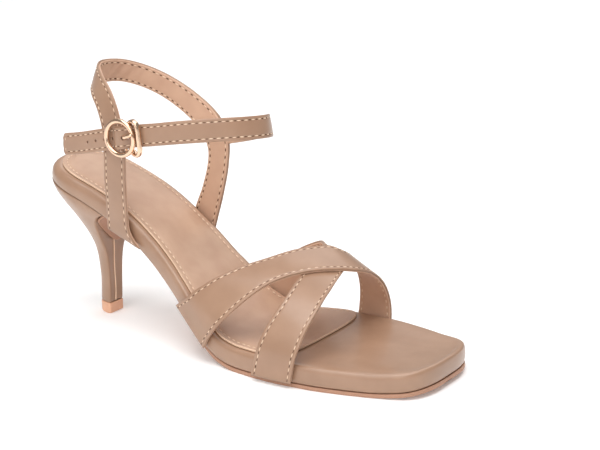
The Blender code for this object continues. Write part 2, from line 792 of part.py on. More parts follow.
def buckle():
    radius = (RING_OUTER - WIRE) / 2
    ring = tube("buckle_frame", [
        buckle_point(radius * math.cos(a), 0.0, radius * math.sin(a))
        for a in np.linspace(0, 2 * math.pi, 32, endpoint=False)
    ], WIRE / 2, closed=True)
    drop = -BAR_DROP
    bar = tube("bar", [buckle_point(0, e2, e3) for e2, e3 in (
        (0.2, radius), (drop * 0.45, radius - 0.1), (drop * 0.85, radius - 0.6),
        (drop, radius - 1.6), (drop, 1.6 - radius), (drop * 0.85, 0.6 - radius),
        (drop * 0.45, 0.1 - radius), (0.2, -radius))], BAR_WIRE / 2)
    reach, high = KEEPER_OFFSET, KEEPER_HALF
    start = math.radians(50)
    half_loop = [(radius * math.cos(start), radius * math.sin(start)), (reach * 0.58, high * 0.96),
                 (reach * 0.74, high), (reach * 0.88, high * 0.9), (reach * 0.97, high * 0.64),
                 (reach, high * 0.25)]
    loop = half_loop + [(e1, -e3) for e1, e3 in reversed(half_loop)]
    keeper = tube("keeper", [buckle_point(e1, KEEPER_PROUD, e3) for e1, e3 in loop],
                  KEEPER_WIRE / 2, deep=KEEPER_DEPTH)
    join(ring, bar)
    join(ring, keeper)
    return ring


def prong():
    reach = BAR_WIRE / 2 + FIT_GAP + PRONG_WIRE / 2 - 0.1
    path = []
    for deg in (190, 215, 240, 270, 300, 330, 355):
        a = math.radians(deg)
        path.append((reach * math.cos(a), reach * math.sin(a) - BAR_DROP))
    radius = (RING_OUTER - WIRE) / 2
    rest = (WIRE + PRONG_WIRE) / 2 + FIT_GAP + 0.1
    path += [(radius * 0.235, -0.41 * BAR_DROP), (radius * 0.315, 0.0), (radius * 0.43, rest * 0.49),
             (radius * 0.605, rest * 0.81), (radius - WIRE * 0.64, rest - 0.05),
             (radius + WIRE * 0.18, rest), (radius + WIRE * 0.6, rest - 0.15)]
    return tube("buckle_prong", [buckle_point(e1, e2, 0.0) for e1, e2 in path],
                PRONG_WIRE / 2 - 0.1, sides=8)


def box(name, low, high):
    """Box in buckle coordinates."""
    verts = [buckle_point(e1, e2, e3) for e1 in (low[0], high[0]) for e2 in (low[1], high[1])
             for e3 in (low[2], high[2])]
    faces = [(0, 1, 3, 2), (4, 6, 7, 5), (0, 4, 5, 1), (2, 3, 7, 6), (0, 2, 6, 4), (1, 5, 7, 3)]
    return new_object(name, verts, faces)


def buckle_loop(strap):
    """Leather loops sewn to the back strap and closed round the centre bar, beside the prong."""
    sides = 16
    for near, far in ((LOOP_NEAR, LOOP_FAR), (-LOOP_FAR, -LOOP_NEAR)):
        verts, faces = [], []
        for e3 in (near, far):
            for radius in (LOOP_BORE, LOOP_OUTER):
                for k in range(sides):
                    a = 2 * math.pi * k / sides
                    verts.append(buckle_point(radius * math.cos(a),
                                              radius * math.sin(a) - BAR_DROP, e3))
        for k in range(sides):
            j = (k + 1) % sides
            a, b, c, d = k, j, sides + j, sides + k
            faces.append((a, b, c, d))
            faces.append((2 * sides + d, 2 * sides + c, 2 * sides + b, 2 * sides + a))
            faces.append((b, a, 2 * sides + a, 2 * sides + b))
            faces.append((d, c, 2 * sides + c, 2 * sides + d))
        sleeve = new_object("sleeve", verts, faces)
        plate = box("plate", (-PLATE_REACH, -BAR_DROP - 1.5, near + 0.2),
                    (-LOOP_BORE - 0.15, -BAR_DROP + 0.45, far - 0.2))
        join(sleeve, plate)
        join(strap, sleeve)
    return strap


def clear_scene():
    for obj in list(bpy.data.objects):
        bpy.data.objects.remove(obj)


def straps_behind():
    """Back strap with its buckle loops, and the ankle strap sewn into its inner leg."""
    strap = back_strap()
    buckle_loop(strap)
    long_strap = ankle_strap()
    half = PRONG_WIRE / 2 + 0.25
    slot = box("slot", (SLOT_FROM, -BAR_DROP, -half), (SLOT_TO, BAR_DROP, half))
    carve(long_strap, slot)
    join(strap, long_strap)
    strap.name = "ankle_straps"
    strap.data.name = "ankle_straps"
    return strap


def finish(pieces):
    """Give every piece its material."""
    for piece in pieces:
        colour, roughness, metallic = LOOKS[piece.name]
        material = bpy.data.materials.new(piece.name)
        material.use_nodes = True
        shader = material.node_tree.nodes["Principled BSDF"]
        shader.inputs["Base Color"].default_value = (*colour, 1.0)
        shader.inputs["Roughness"].default_value = roughness
        shader.inputs["Metallic"].default_value = metallic
        piece.data.materials.clear()
        piece.data.materials.append(material)


def stand_on_origin(pieces):
    """Hang the pieces on an empty that puts the bottom centre of the shoe at the origin."""
    points = np.array([v.co[:] for piece in pieces for v in piece.data.vertices])
    low, high = points.min(axis=0), points.max(axis=0)
    sandal = bpy.data.objects.new("sandal", None)
    bpy.context.scene.collection.objects.link(sandal)
    sandal.location = (-(low[0] + high[0]) / 2, -(low[1] + high[1]) / 2, -low[2])
    for piece in pieces:
        piece.parent = sandal


def main():
    clear_scene()
    pieces = [board(), sock(), heel(), heel_tip(), outsole(), vamp(), straps_behind(), buckle(),
              prong()]
    finish(pieces)
    stand_on_origin(pieces)


main()
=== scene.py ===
from math import acos, copysign, cos, exp, hypot, pi, radians, sin, sqrt
import bmesh
import bpy
import numpy as np
from mathutils import Matrix, Vector


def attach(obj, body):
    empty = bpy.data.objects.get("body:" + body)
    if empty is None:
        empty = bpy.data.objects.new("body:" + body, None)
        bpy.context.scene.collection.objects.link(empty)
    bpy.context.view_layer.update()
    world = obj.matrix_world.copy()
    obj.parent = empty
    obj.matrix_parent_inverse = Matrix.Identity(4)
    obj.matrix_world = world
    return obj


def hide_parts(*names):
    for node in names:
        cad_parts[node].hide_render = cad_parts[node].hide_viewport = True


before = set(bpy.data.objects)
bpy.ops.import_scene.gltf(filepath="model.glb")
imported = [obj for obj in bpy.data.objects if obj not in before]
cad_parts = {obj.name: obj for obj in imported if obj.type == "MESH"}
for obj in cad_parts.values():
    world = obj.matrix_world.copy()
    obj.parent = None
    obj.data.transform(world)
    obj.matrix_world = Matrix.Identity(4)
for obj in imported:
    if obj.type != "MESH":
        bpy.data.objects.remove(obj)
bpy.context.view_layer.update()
mm = 0.001
# tables and sizes are in the build frame, in mm: heel end at x = 0, toe along +X, inner side +Y
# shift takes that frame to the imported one, whose origin lies under the middle of the shoe
shift = np.array((-120.293, 0.894, 0.0))
shoe = {
    "length": 240.0, "ball": 83.0, "seat": 49.0, "heelHeight": 75.0, "rise": 40.0, "ankle": 58.0,
    "loop": 138.0, "gap": 0.3, "outsole": 2.0, "tongue": 1.2, "tongueHalf": 20.0,
    "board": 9.3, "seatThinner": 0.8, "sock": 1.7, "sockInset": 3.6, "tip": 6.0, "tipWidth": 11.0,
    "strap": 2.0, "buckled": 1.8, "ankleStrap": 11.6, "bulge": 0.3,
}
floorZ = shoe["outsole"] + shoe["gap"]
# covered board; rear and toe give the length and power of an end's rounding
board = {
    "rear": (26.0, 2.0), "toe": (16.0, 3.0), "leanTo": 14.0, "levelFrom": 62.0,
    "dish": 0.55, "dishFrom": 165.0, "dishFull": 190.0,
}
# share of the length, then outer and inner half width as shares of the ball's width
planTable = (
    (0.0, 0.283, 0.3), (0.1, 0.284, 0.303), (0.19, 0.286, 0.303), (0.29, 0.295, 0.29),
    (0.39, 0.335, 0.288), (0.44, 0.378, 0.297), (0.49, 0.422, 0.32), (0.59, 0.486, 0.405),
    (0.68, 0.508, 0.478), (0.77, 0.488, 0.488), (0.85, 0.437, 0.461), (0.92, 0.372, 0.412),
    (0.97, 0.322, 0.36), (1.0, 0.3, 0.322),
)
# share of the length, then the board's underside as a share of the heel's height
profileTable = (
    (0.0, 0.998), (0.08, 0.937), (0.17, 0.838), (0.25, 0.718), (0.33, 0.548), (0.42, 0.31),
    (0.5, 0.098), (0.55, 0.022), (0.6, 0.0), (0.89, 0.0), (0.96, 0.018), (1.0, 0.04),
)
toeDegrees = (84, 78, 72, 66, 60, 54, 48, 42, 36, 30, 24, 18, 12, 7, 3)
rearDegrees = (4, 8, 13, 19, 26, 33, 41, 49, 57, 65, 73, 81)


def unit(rows):
    return rows / np.linalg.norm(rows, axis=-1, keepdims=True)


def pathRun(points):
    return np.concatenate([[0], np.cumsum(np.linalg.norm(np.diff(points, axis=0), axis=1))])


def rowAlong(rows, run, at):
    return np.array([np.interp(at, run, rows[:, k]) for k in range(rows.shape[1])]).T


# a table's values at x, on a smooth curve that doesn't overshoot its rows
def rowsAt(table, x):
    data = np.array(table, dtype=float)
    keys = data[:, 0]
    x = float(np.clip(x, keys[0], keys[-1]))
    i = int(np.clip(np.searchsorted(keys, x) - 1, 0, len(keys) - 2))
    step = np.diff(keys)
    rise = np.diff(data[:, 1:], axis=0) / step[:, None]
    slopes = np.zeros_like(data[:, 1:])
    slopes[0], slopes[-1] = rise[0], rise[-1]
    for k in range(1, len(keys) - 1):
        same = rise[k - 1] * rise[k] > 0
        w1, w2 = 2 * step[k] + step[k - 1], step[k] + 2 * step[k - 1]
        with np.errstate(divide="ignore", invalid="ignore"):
            mean = (w1 + w2) / (w1 / rise[k - 1] + w2 / rise[k])
        slopes[k] = np.where(same, mean, 0.0)
    h = step[i]
    t = (x - keys[i]) / h
    return (
        (1 + 2 * t) * (1 - t) ** 2 * data[i, 1:] + t * (1 - t) ** 2 * h * slopes[i]
        + t * t * (3 - 2 * t) * data[i + 1, 1:] + t * t * (t - 1) * h * slopes[i + 1]
    )


# count points at even steps on a smooth curve through the rows
def smoothPath(rows, count):
    data = np.array(rows, dtype=float)
    ext = np.vstack([2 * data[0] - data[1], data, 2 * data[-1] - data[-2]])
    fine = []
    for i in range(len(data) - 1):
        a, b, c, d = ext[i:i + 4]
        for t in np.linspace(0, 1, 24, endpoint=False):
            fine.append(0.5 * (2 * b + (c - a) * t + (2 * a - 5 * b + 4 * c - d) * t * t
                               + (3 * b - a - 3 * c + d) * t ** 3))
    fine.append(data[-1])
    fine = np.array(fine)
    run = pathRun(fine)
    return rowAlong(fine, run, np.linspace(0, run[-1], count))


def ease(value, low, high):
    t = min(max((value - low) / (high - low), 0.0), 1.0)
    return t * t * (3 - 2 * t)


def boardBottom(x):
    return floorZ + rowsAt(profileTable, x / shoe["length"])[0] * (shoe["heelHeight"] - floorZ)


def boardSlope(x):
    return boardBottom(x + 0.5) - boardBottom(x - 0.5)


def atRear(x):
    return 1 - ease(x, board["leanTo"], board["levelFrom"])


def boardTop(x):
    thick = shoe["board"] - shoe["seatThinner"] * atRear(x)
    return boardBottom(x) + thick * sqrt(1 + boardSlope(x) ** 2)


def seatLean(x, share):
    slope = boardSlope(max(x, 1.0))
    return -share * shoe["board"] * slope / sqrt(1 + slope * slope) * atRear(x)


def sideWidths(x):
    outer, inner = rowsAt(planTable, x / shoe["length"])
    return outer * shoe["ball"], inner * shoe["ball"]


# outer and inner edge at x, each moved in by inset and drawn to the middle by share
def edgesAt(x, share, inset):
    outer, inner = sideWidths(x)
    outer, inner = outer - inset, inner - inset
    mid = (inner - outer) / 2
    return mid - share * (outer + mid), mid + share * (inner - mid)


# stations round an end: x, then the share of the width; size is negative at the toe
def endStations(at, size, power, degrees):
    return [(at + size * (1 - cos(a) ** (2 / power)), sin(a) ** (2 / power))
            for a in np.radians(degrees)]


# plan outline of a board or pad: tail tip, outer side, toe tip, inner side
def planRing(start, end, rear, front, inset, middleCount):
    stations = endStations(start, *rear, rearDegrees)
    stations += [(x, 1.0) for x in np.linspace(start + rear[0], end - front[0], middleCount)]
    stations += endStations(end, -front[0], front[1], toeDegrees)
    outerSide, innerSide = [], []
    for x, share in stations:
        low, high = edgesAt(x, share, inset)
        outerSide.append((x, low))
        innerSide.append((x, high))
    tail, toe = [(x, edgesAt(x, 0.0, 0.0)[0]) for x in (start, end)]
    return np.array([tail] + outerSide + [toe] + innerSide[::-1])


def shrink(ring, by):
    along = unit(np.roll(ring, -1, axis=0) - np.roll(ring, 1, axis=0))
    return ring + np.column_stack([-along[:, 1], along[:, 0]]) * by


def addObject(name, data):
    thing = bpy.data.objects.new(name, data)
    bpy.context.scene.collection.objects.link(thing)
    return thing


def newPiece(name, verts, faces, materials, marks=None):
    points = (np.array(verts, dtype=float) + shift) * mm
    mesh = bpy.data.meshes.new(name)
    mesh.from_pydata(points.tolist(), [], faces)
    for material in materials:
        mesh.materials.append(material)
    if marks is not None:
        mesh.polygons.foreach_set("material_index", marks)
    mesh.polygons.foreach_set("use_smooth", [True] * len(mesh.polygons))
    mesh.update()
    shape = bmesh.new()
    shape.from_mesh(mesh)
    bmesh.ops.recalc_face_normals(shape, faces=shape.faces[:])
    if shape.calc_volume(signed=True) < 0:
        bmesh.ops.reverse_faces(shape, faces=shape.faces[:])
    shape.to_mesh(mesh)
    shape.free()
    piece = addObject(name, mesh)
    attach(piece, "root")
    return piece


# makes the modifiers' result the piece's own mesh
def keepEvaluated(piece):
    bpy.context.view_layer.update()
    graph = bpy.context.evaluated_depsgraph_get()
    made = bpy.data.meshes.new_from_object(piece.evaluated_get(graph))
    piece.modifiers.clear()
    piece.data = made


# quads between rings that share one point order, and a cap on each end
def sweptFaces(count, sides, closed=False, caps=True):
    faces = []
    for r in range(count if closed else count - 1):
        q = (r + 1) % count
        for k in range(sides):
            j = (k + 1) % sides
            faces.append((r * sides + k, r * sides + j, q * sides + j, q * sides + k))
    if caps and not closed:
        faces.append(tuple(range(sides - 1, -1, -1)))
        faces.append(tuple(range((count - 1) * sides, count * sides)))
    return faces


# solid of stacked rings: 0 is the tail tip, half the toe tip, and i pairs with n - i
def ladderSolid(name, rings, columns, materials, topBump=None, sideMark=None):
    n = len(rings[0])
    half = n // 2
    verts = [tuple(p) for ring in rings for p in ring]
    faces = sweptFaces(len(rings), n, caps=False)
    marks = [sideMark(r) if sideMark else 0 for r in range(len(rings) - 1) for _ in range(n)]
    for base, flip in ((0, True), ((len(rings) - 1) * n, False)):
        rows = []
        for i in range(1, half):
            a, b = np.array(verts[base + i]), np.array(verts[base + n - i])
            row = [base + i]
            for c in range(1, columns):
                t = c / columns
                p = a * (1 - t) + b * t
                if topBump and not flip:
                    p = p + np.array((0.0, 0.0, topBump(p[0], t)))
                row.append(len(verts))
                verts.append(tuple(p))
            row.append(base + n - i)
            rows.append(row)
        cap = [(rows[0][c + 1], rows[0][c], base) for c in range(columns)]
        for low, high in zip(rows[:-1], rows[1:]):
            cap += [(low[c], high[c], high[c + 1], low[c + 1]) for c in range(columns)]
        cap += [(rows[-1][c], base + half, rows[-1][c + 1]) for c in range(columns)]
        faces += [f[::-1] if flip else f for f in cap]
        marks += [0] * len(cap)
    return newPiece(name, verts, faces, materials, marks)


# materials: colours as sRGB fractions, turned into linear values once
def linear(rgb):
    return tuple(((c + 0.055) / 1.055) ** 2.4 if c > 0.04045 else c / 12.92 for c in rgb)


def newMaterial(name):
    material = bpy.data.materials.new(name)
    material.use_nodes = True
    tree = material.node_tree
    return material, tree, tree.nodes["Principled BSDF"]


# sets a node's inputs by name, with _ for each space
def setInputs(node, **inputs):
    for key, value in inputs.items():
        node.inputs[key.replace("_", " ")].default_value = value
    return node


def addNode(tree, kind, **inputs):
    return setInputs(tree.nodes.new(kind), **inputs)


def texture(tree, place, kind="ShaderNodeTexNoise", **inputs):
    node = addNode(tree, kind, **inputs)
    tree.links.new(place.outputs["Object"], node.inputs["Vector"])
    return node


def mixColours(tree, shader, dark, light, source):
    mix = tree.nodes.new("ShaderNodeMix")
    mix.data_type = "RGBA"
    mix.inputs[6].default_value = (*linear(dark), 1)
    mix.inputs[7].default_value = (*linear(light), 1)
    tree.links.new(source, mix.inputs[0])
    tree.links.new(mix.outputs[2], shader.inputs["Base Color"])


def setRoughness(tree, shader, source, low, high):
    gloss = addNode(tree, "ShaderNodeMapRange", To_Min=low, To_Max=high)
    tree.links.new(source, gloss.inputs["Value"])
    tree.links.new(gloss.outputs["Result"], shader.inputs["Roughness"])


def addBump(tree, source, strength, distance, target):
    bump = addNode(tree, "ShaderNodeBump", Strength=strength, Distance=distance)
    tree.links.new(source, bump.inputs["Height"])
    tree.links.new(bump.outputs["Normal"], target.inputs["Normal"])
    return bump


# soft tone, pores over a fine grain, and slow waves in the surface
def leather(name, look):
    material, tree, shader = newMaterial(name)
    link, place = tree.links.new, tree.nodes.new("ShaderNodeTexCoord")
    tone = texture(tree, place, Scale=look["toneScale"], Detail=4.0)
    spread = addNode(tree, "ShaderNodeMapRange", From_Min=0.35, From_Max=0.65)
    link(tone.outputs["Fac"], spread.inputs["Value"])
    mixColours(tree, shader, look["dark"], look["light"], spread.outputs["Result"])
    grain = texture(tree, place, "ShaderNodeTexVoronoi", Scale=look["grainScale"])
    grain.feature = "SMOOTH_F1"
    pores = texture(tree, place, Scale=look["grainScale"] * 0.55, Detail=3.0)
    height = tree.nodes.new("ShaderNodeMath")
    height.operation = "MULTIPLY_ADD"
    height.inputs[1].default_value = 0.6
    link(grain.outputs["Distance"], height.inputs[0])
    link(pores.outputs["Fac"], height.inputs[2])
    wave = texture(tree, place, Scale=look["waveScale"], Detail=2.0)
    soft = addBump(tree, wave.outputs["Fac"], look["wave"], 0.0012, shader)
    addBump(tree, height.outputs[0], look["grain"], 0.00012, soft)
    setRoughness(tree, shader, pores.outputs["Fac"], look["rough"] - 0.05, look["rough"] + 0.07)
    setInputs(shader, Coat_Weight=look["coat"], Coat_Roughness=look["coatRough"],
              Specular_IOR_Level=0.45)
    return material


# one noise gives tone, bump and roughness
def plain(name, dark, light, scale, bump, rough, metal=0.0, coat=0.0):
    material, tree, shader = newMaterial(name)
    place = tree.nodes.new("ShaderNodeTexCoord")
    tone = texture(tree, place, Scale=scale, Detail=5.0).outputs["Fac"]
    mixColours(tree, shader, dark, light, tone)
    addBump(tree, tone, bump, 0.0001, shader)
    setRoughness(tree, shader, tone, rough * 0.8, rough * 1.2)
    setInputs(shader, Metallic=metal, Coat_Weight=coat, Coat_Roughness=0.08)
    return material


taupe = {
    "dark": (0.612, 0.477, 0.383), "light": (0.648, 0.512, 0.417), "toneScale": 60.0,
    "grainScale": 2600.0, "waveScale": 45.0, "grain": 0.16, "wave": 0.1, "rough": 0.37,
    "coat": 0.27, "coatRough": 0.22,
}
liningLook = {
    "dark": (0.78, 0.628, 0.53), "light": (0.815, 0.668, 0.565), "toneScale": 80.0,
    "grainScale": 2200.0, "waveScale": 70.0, "grain": 0.22, "wave": 0.14, "rough": 0.55,
    "coat": 0.05, "coatRough": 0.5,
}
boardLeather = leather("boardLeather", dict(taupe, coat=0.38, coatRough=0.18))
strapLeather = leather("strapLeather", dict(taupe, wave=0.16))
heelLeather = leather("heelLeather", dict(taupe, wave=0.06, coat=0.18, coatRough=0.22))
liningLeather = leather("liningLeather", liningLook)
sockLeather = leather("sockLeather", dict(
    liningLook, dark=(0.712, 0.572, 0.48), light=(0.745, 0.61, 0.514),
    rough=0.46, coat=0.12, coatRough=0.4, wave=0.06))
creamEdge = plain("creamEdge", (0.88, 0.75, 0.64), (0.94, 0.82, 0.71), 900.0, 0.5, 0.7)
threadCream = plain("threadCream", (0.86, 0.745, 0.635), (0.92, 0.825, 0.725), 2500.0, 0.6, 0.6)
# painted shade: the dark colour of the caps that stand for the shadow inside the needle holes
needleShade = plain("needleShade", (0.34, 0.24, 0.17), (0.43, 0.31, 0.23), 2500.0, 0.4, 0.9)
outsoleTan = plain("outsoleTan", (0.655, 0.485, 0.39), (0.73, 0.555, 0.455), 500.0, 0.4, 0.55)
tipSalmon = plain("tipSalmon", (0.87, 0.655, 0.53), (0.93, 0.73, 0.6), 300.0, 0.3, 0.5)
roseGold = plain("roseGold", (0.88, 0.73, 0.61), (0.95, 0.83, 0.72), 120.0, 0.02, 0.18, 1.0, 0.5)
print("materials made")

# covered board
boardRings = []
boardOutline = planRing(0.0, shoe["length"], board["rear"], board["toe"], 0.0, 130)
# inset, more inset at the rear, share of the thickness, change of that share at the rear
boardLayers = (
    (2.2, 0.0, 0.0, 0.0), (0.9, 0.0, 0.0, 0.0), (0.35, 0.0, 0.03, 0.0),
    (0.08, 0.0, 0.09, 0.0), (-0.15, 0.0, 0.24, -0.01), (-0.28, 0.0, 0.42, -0.04),
    (-0.22, 0.0, 0.62, -0.08), (-0.05, 0.05, 0.76, -0.11), (0.12, 0.2, 0.84, -0.11),
    (0.38, 0.5, 0.915, -0.085), (0.75, 0.9, 0.962, -0.05), (1.25, 1.3, 0.99, -0.02),
    (1.9, 1.6, 1.0, -0.005), (2.8, 1.8, 1.004, 0.0),
)
for inset, rearInset, share, rearShare in boardLayers:
    ring, rolled = shrink(boardOutline, inset), shrink(boardOutline, inset + rearInset)
    level = []
    for (x, y), (rx, ry) in zip(ring, rolled):
        blend = atRear(x)
        x, y = x + blend * (rx - x), y + blend * (ry - y)
        part = share + rearShare * blend
        x += seatLean(x, part)
        level.append((x, y, boardBottom(x) + part * (boardTop(x) - boardBottom(x))))
    boardRings.append(level)


def boardDish(x, t):
    edge = ease(min(t, 1 - t), 0.0, 0.22)
    return -board["dish"] * edge * ease(x, board["dishFrom"], board["dishFull"])


midsole = ladderSolid("boardCover", boardRings, 24, (boardLeather,), boardDish)
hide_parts("midsole")
print("board made")

# padded sock
sock = {
    "front": 0.714 * shoe["length"], "rearInset": 1.2, "rear": (23.0, 2.0), "toe": (12.0, 3.4),
    "puff": 0.5, "puffTo": 146.0, "flatFront": 9.0, "flatShare": 0.73,
    "stitchInset": 2.5, "stitchPitch": 3.4, "stitchSink": 0.37, "plainFront": 7.0, "edgeRings": 4,
}
sockStart = shoe["sockInset"] + sock["rearInset"] + seatLean(0.0, 1.0)
sockOutline = planRing(sockStart, sock["front"], sock["rear"], sock["toe"], shoe["sockInset"], 96)
sockRings = []
# inset and share of the thickness: cut edge, rim, sewn channel, crown
for inset, share in ((0.1, 0.0), (0.0, 0.1), (0.0, 0.46), (0.04, 0.58), (0.16, 0.66), (0.42, 0.71),
                     (1.1, 0.73), (1.9, 0.69), (2.5, 0.6), (3.0, 0.7), (3.7, 0.84),
                     (5.0, 1.0)):
    level = []
    for x, y in shrink(sockOutline, inset):
        flat = ease(x, sock["front"] - sock["flatFront"], sock["front"] - 3.0)
        flat *= ease(inset, 0.42, 1.1)
        tall = share + flat * (sock["flatShare"] - share)
        level.append((x, y, boardTop(x) + shoe["gap"] + tall * shoe["sock"]))
    sockRings.append(level)


def sockPuff(x, t):
    edge = ease(min(t, 1 - t), 0.0, 0.2)
    return sock["puff"] * edge * (1 - ease(x, sock["puffTo"], sock["front"] - 4.0))


sockPiece = ladderSolid("sockPad", sockRings, 20, (sockLeather, creamEdge), sockPuff,
                        lambda r: int(r < sock["edgeRings"]))
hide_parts("sock_lining")
print("sock made")

# heel block; the foot stands a little towards the outer side
heel = {"footSide": -3.0, "seatSide": 0.7, "corner": 0.9, "hollow": 0.35, "seamRadius": 0.42}
# share of the height, back and breast as shares of the length, half width, roundness
heelTable = (
    (0.0, 0.117, 0.156, 0.11, 0.95), (0.19, 0.116, 0.155, 0.112, 0.95),
    (0.3, 0.112, 0.154, 0.118, 0.95), (0.39, 0.108, 0.153, 0.128, 0.95),
    (0.48, 0.1012, 0.152, 0.15, 0.96), (0.57, 0.0902, 0.151, 0.2, 0.97),
    (0.68, 0.069, 0.153, 0.282, 0.96), (0.78, 0.042, 0.158, 0.362, 0.92),
    (0.86, 0.014, 0.166, 0.42, 0.84), (0.92, 0.004, 0.176, 0.462, 0.72),
    (0.97, 0.002, 0.188, 0.486, 0.6), (1.0, 0.002, 0.2, 0.492, 0.52),
)


def heelMiddle(height):
    return heel["footSide"] * (1 - height) + heel["seatSide"] * height


def heelPoint(height, u, side):
    back, breast, half, roundness = rowsAt(heelTable, height)
    back, breast = back * shoe["length"], breast * shoe["length"]
    x = back + u * (breast - back)
    width = half * shoe["seat"] * sqrt(max(1 - (1 - min(u / roundness, 1.0)) ** 2, 0.0))
    low, top = shoe["tip"] + shoe["gap"], boardBottom(x) - shoe["gap"]
    return np.array((x, heelMiddle(height) + side * width, low + height * (top - low)))


def breastLine(height):
    p = heelPoint(height, 1.0, 1)
    return p[0], p[2]


heelRings = []
heelShares = [1 - cos(radians(d)) for d in np.linspace(4, 90, 20)]
for height in np.concatenate([[0.0, 0.004, 0.012], np.linspace(0.03, 0.985, 58), [1.0]]):
    # the two lowest rings are drawn in, which rounds the foot's edge
    pinch = 0.35 if height == 0 else (0.12 if height < 0.01 else 0.0)
    back, breast, _, roundness = rowsAt(heelTable, height)
    corner = heel["corner"] / (breast * shoe["length"] - back * shoe["length"])
    us = [s * roundness for s in heelShares]
    if 1 - corner > roundness:
        us += [roundness + (1 - corner - roundness) * k / 3 for k in (1, 2, 3)]
    us = [u for u in us if u <= 1 - corner + 1e-6]
    while len(us) < 23:
        us.insert(-1, (us[-2] + us[-1]) / 2)
    centre = heelMiddle(height)
    sides = {}
    for side in (-1, 1):
        rim = [heelPoint(height, u, side) for u in us]
        flank = rim[-1][1]
        for a in np.radians((22, 45, 68, 90)):
            p = heelPoint(height, 1 - corner * (1 - sin(a)), side)
            p[1] = flank - side * heel["corner"] * (1 - cos(a))
            rim.append(p)
        for share in (0.75, 0.5, 0.25):
            q = p.copy()
            q[1] = centre + (p[1] - centre) * share
            q[0] -= heel["hollow"] * (1 - share ** 2)
            rim.append(q)
        sides[side] = rim
    tail = heelPoint(height, 0.0, 1)
    nose = heelPoint(height, 1.0, 1)
    nose[0] -= heel["hollow"]
    nose[1] = centre
    ring = [tail] + sides[-1] + [nose] + sides[1][::-1]
    if pinch:
        middle = np.mean(ring, axis=0)
        ring = [p + (middle - p) * pinch / np.linalg.norm((middle - p)[:2]) * (1, 1, 0)
                for p in ring]
    heelRings.append(ring)
heelPiece = ladderSolid("heelCover", heelRings, 6, (heelLeather,))
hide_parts("heel")


# tube along a flat path; radius and flat may be one value or one for each point
def tube(name, points, radius, sides, closed, material, flat=1.0):
    points = np.array(points, dtype=float)
    radius = np.broadcast_to(radius, (len(points),))
    flat = np.broadcast_to(flat, (len(points),))
    ahead = np.roll(points, -1, axis=0) - points
    behind = points - np.roll(points, 1, axis=0)
    if not closed:
        behind[0], ahead[-1] = ahead[0], behind[-1]
    along = unit(unit(ahead) + unit(behind))
    plane = np.linalg.svd(points - points.mean(axis=0))[2][2]
    verts = []
    for point, run, r, deep in zip(points, along, radius, flat):
        side = unit(np.cross(run, plane))
        for k in range(sides):
            turn = 2 * pi * k / sides
            verts.append(point + r * (cos(turn) * side + deep * sin(turn) * plane))
    return newPiece(name, verts, sweptFaces(len(points), sides, closed), (material,))


seam = []
for height in np.linspace(0.006, 0.6, 60):
    x, z = breastLine(height)
    sway = 0.25 * sin(height * 14) - 0.4 * height
    seam.append((x - 0.25, heelMiddle(height) + sway - 0.6, z))
tube("heelSeam", seam, heel["seamRadius"], 8, False, creamEdge)
print("heel made")

# top piece under the heel
tip = {"bow": 0.9, "middle": heel["footSide"]}
tipRings = []
for level, grow in ((0.0, -0.9), (0.05, -0.5), (0.3, -0.12), (0.7, 0.0), (3.0, 0.05), (5.3, 0.1),
                    (5.75, 0.02), (6.0, -0.25)):
    back, breast = rowsAt(heelTable, 0.0)[:2] * shoe["length"]
    back, breast, half = back - grow, breast + grow, shoe["tipWidth"] / 2 + grow
    rim = []
    for a in np.radians(np.linspace(5, 90, 18)):
        rim.append((back + (1 - cos(a)) * tip["bow"] * (breast - back), half * sin(a)))
    for a in np.radians((30, 60, 90)):
        rim.append((breast - heel["corner"] * (1 - sin(a)),
                    half - heel["corner"] * (1 - cos(a))))
    rim += [(breast, (half - heel["corner"]) * share) for share in (0.66, 0.33)]
    outer, inner = [[(x, tip["middle"] + side * y, level) for x, y in rim] for side in (-1, 1)]
    tipRings.append([(back, tip["middle"], level)] + outer + [(breast, tip["middle"], level)]
                    + inner[::-1])
tipPiece = ladderSolid("topPiece", tipRings, 8, (tipSalmon,))
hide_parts("heel_tip")
print("top piece made")

# tread sheet with the tongue lapped on the heel's breast
outsole = {
    "lapFoot": 0.57, "lapSeat": 0.985, "lapToShank": 5.0, "thickenOver": 60.0,
    "shankCut": 3.2, "cutFrom": 140.0, "cutOver": 45.0,
}
lap = []
lapHeights = np.concatenate([np.linspace(outsole["lapFoot"] + 0.004, 0.66, 14),
                             np.linspace(0.675, outsole["lapSeat"], 18)])
for height in lapHeights:
    x, z = breastLine(height)
    ahead, behind = breastLine(min(height + 0.01, 1.0)), breastLine(height - 0.01)
    dx, dz = ahead[0] - behind[0], ahead[1] - behind[1]
    size = hypot(dx, dz)
    climb = (height - outsole["lapFoot"]) / (outsole["lapSeat"] - outsole["lapFoot"])
    share = sin(acos(max(1 - climb, 0.0)))
    breastHalf = rowsAt(heelTable, height)[2] * shoe["seat"] - heel["corner"]
    lap.append((x, z, dz / size, -dx / size, min(shoe["tongueHalf"], breastHalf) * share,
                shoe["tongue"], True))
tread = list(lap)
treadStart = lap[-1][0] + outsole["lapToShank"]
treadEnd = shoe["length"]
toeRound, toePower = board["toe"]
treadPoints = [(x, 1.0) for x in np.linspace(treadStart, treadEnd - toeRound, 110)]
treadPoints += endStations(treadEnd, -toeRound, toePower, toeDegrees)
for x, share in treadPoints:
    slope = boardSlope(x)
    size = sqrt(1 + slope * slope)
    blend = min(max((x - treadStart) / outsole["thickenOver"], 0.0), 1.0)
    thick = shoe["tongue"] + (shoe["outsole"] - shoe["tongue"]) * blend
    tread.append((x, boardBottom(x), slope / size, -1 / size, share, thick, False))
treadRings = []
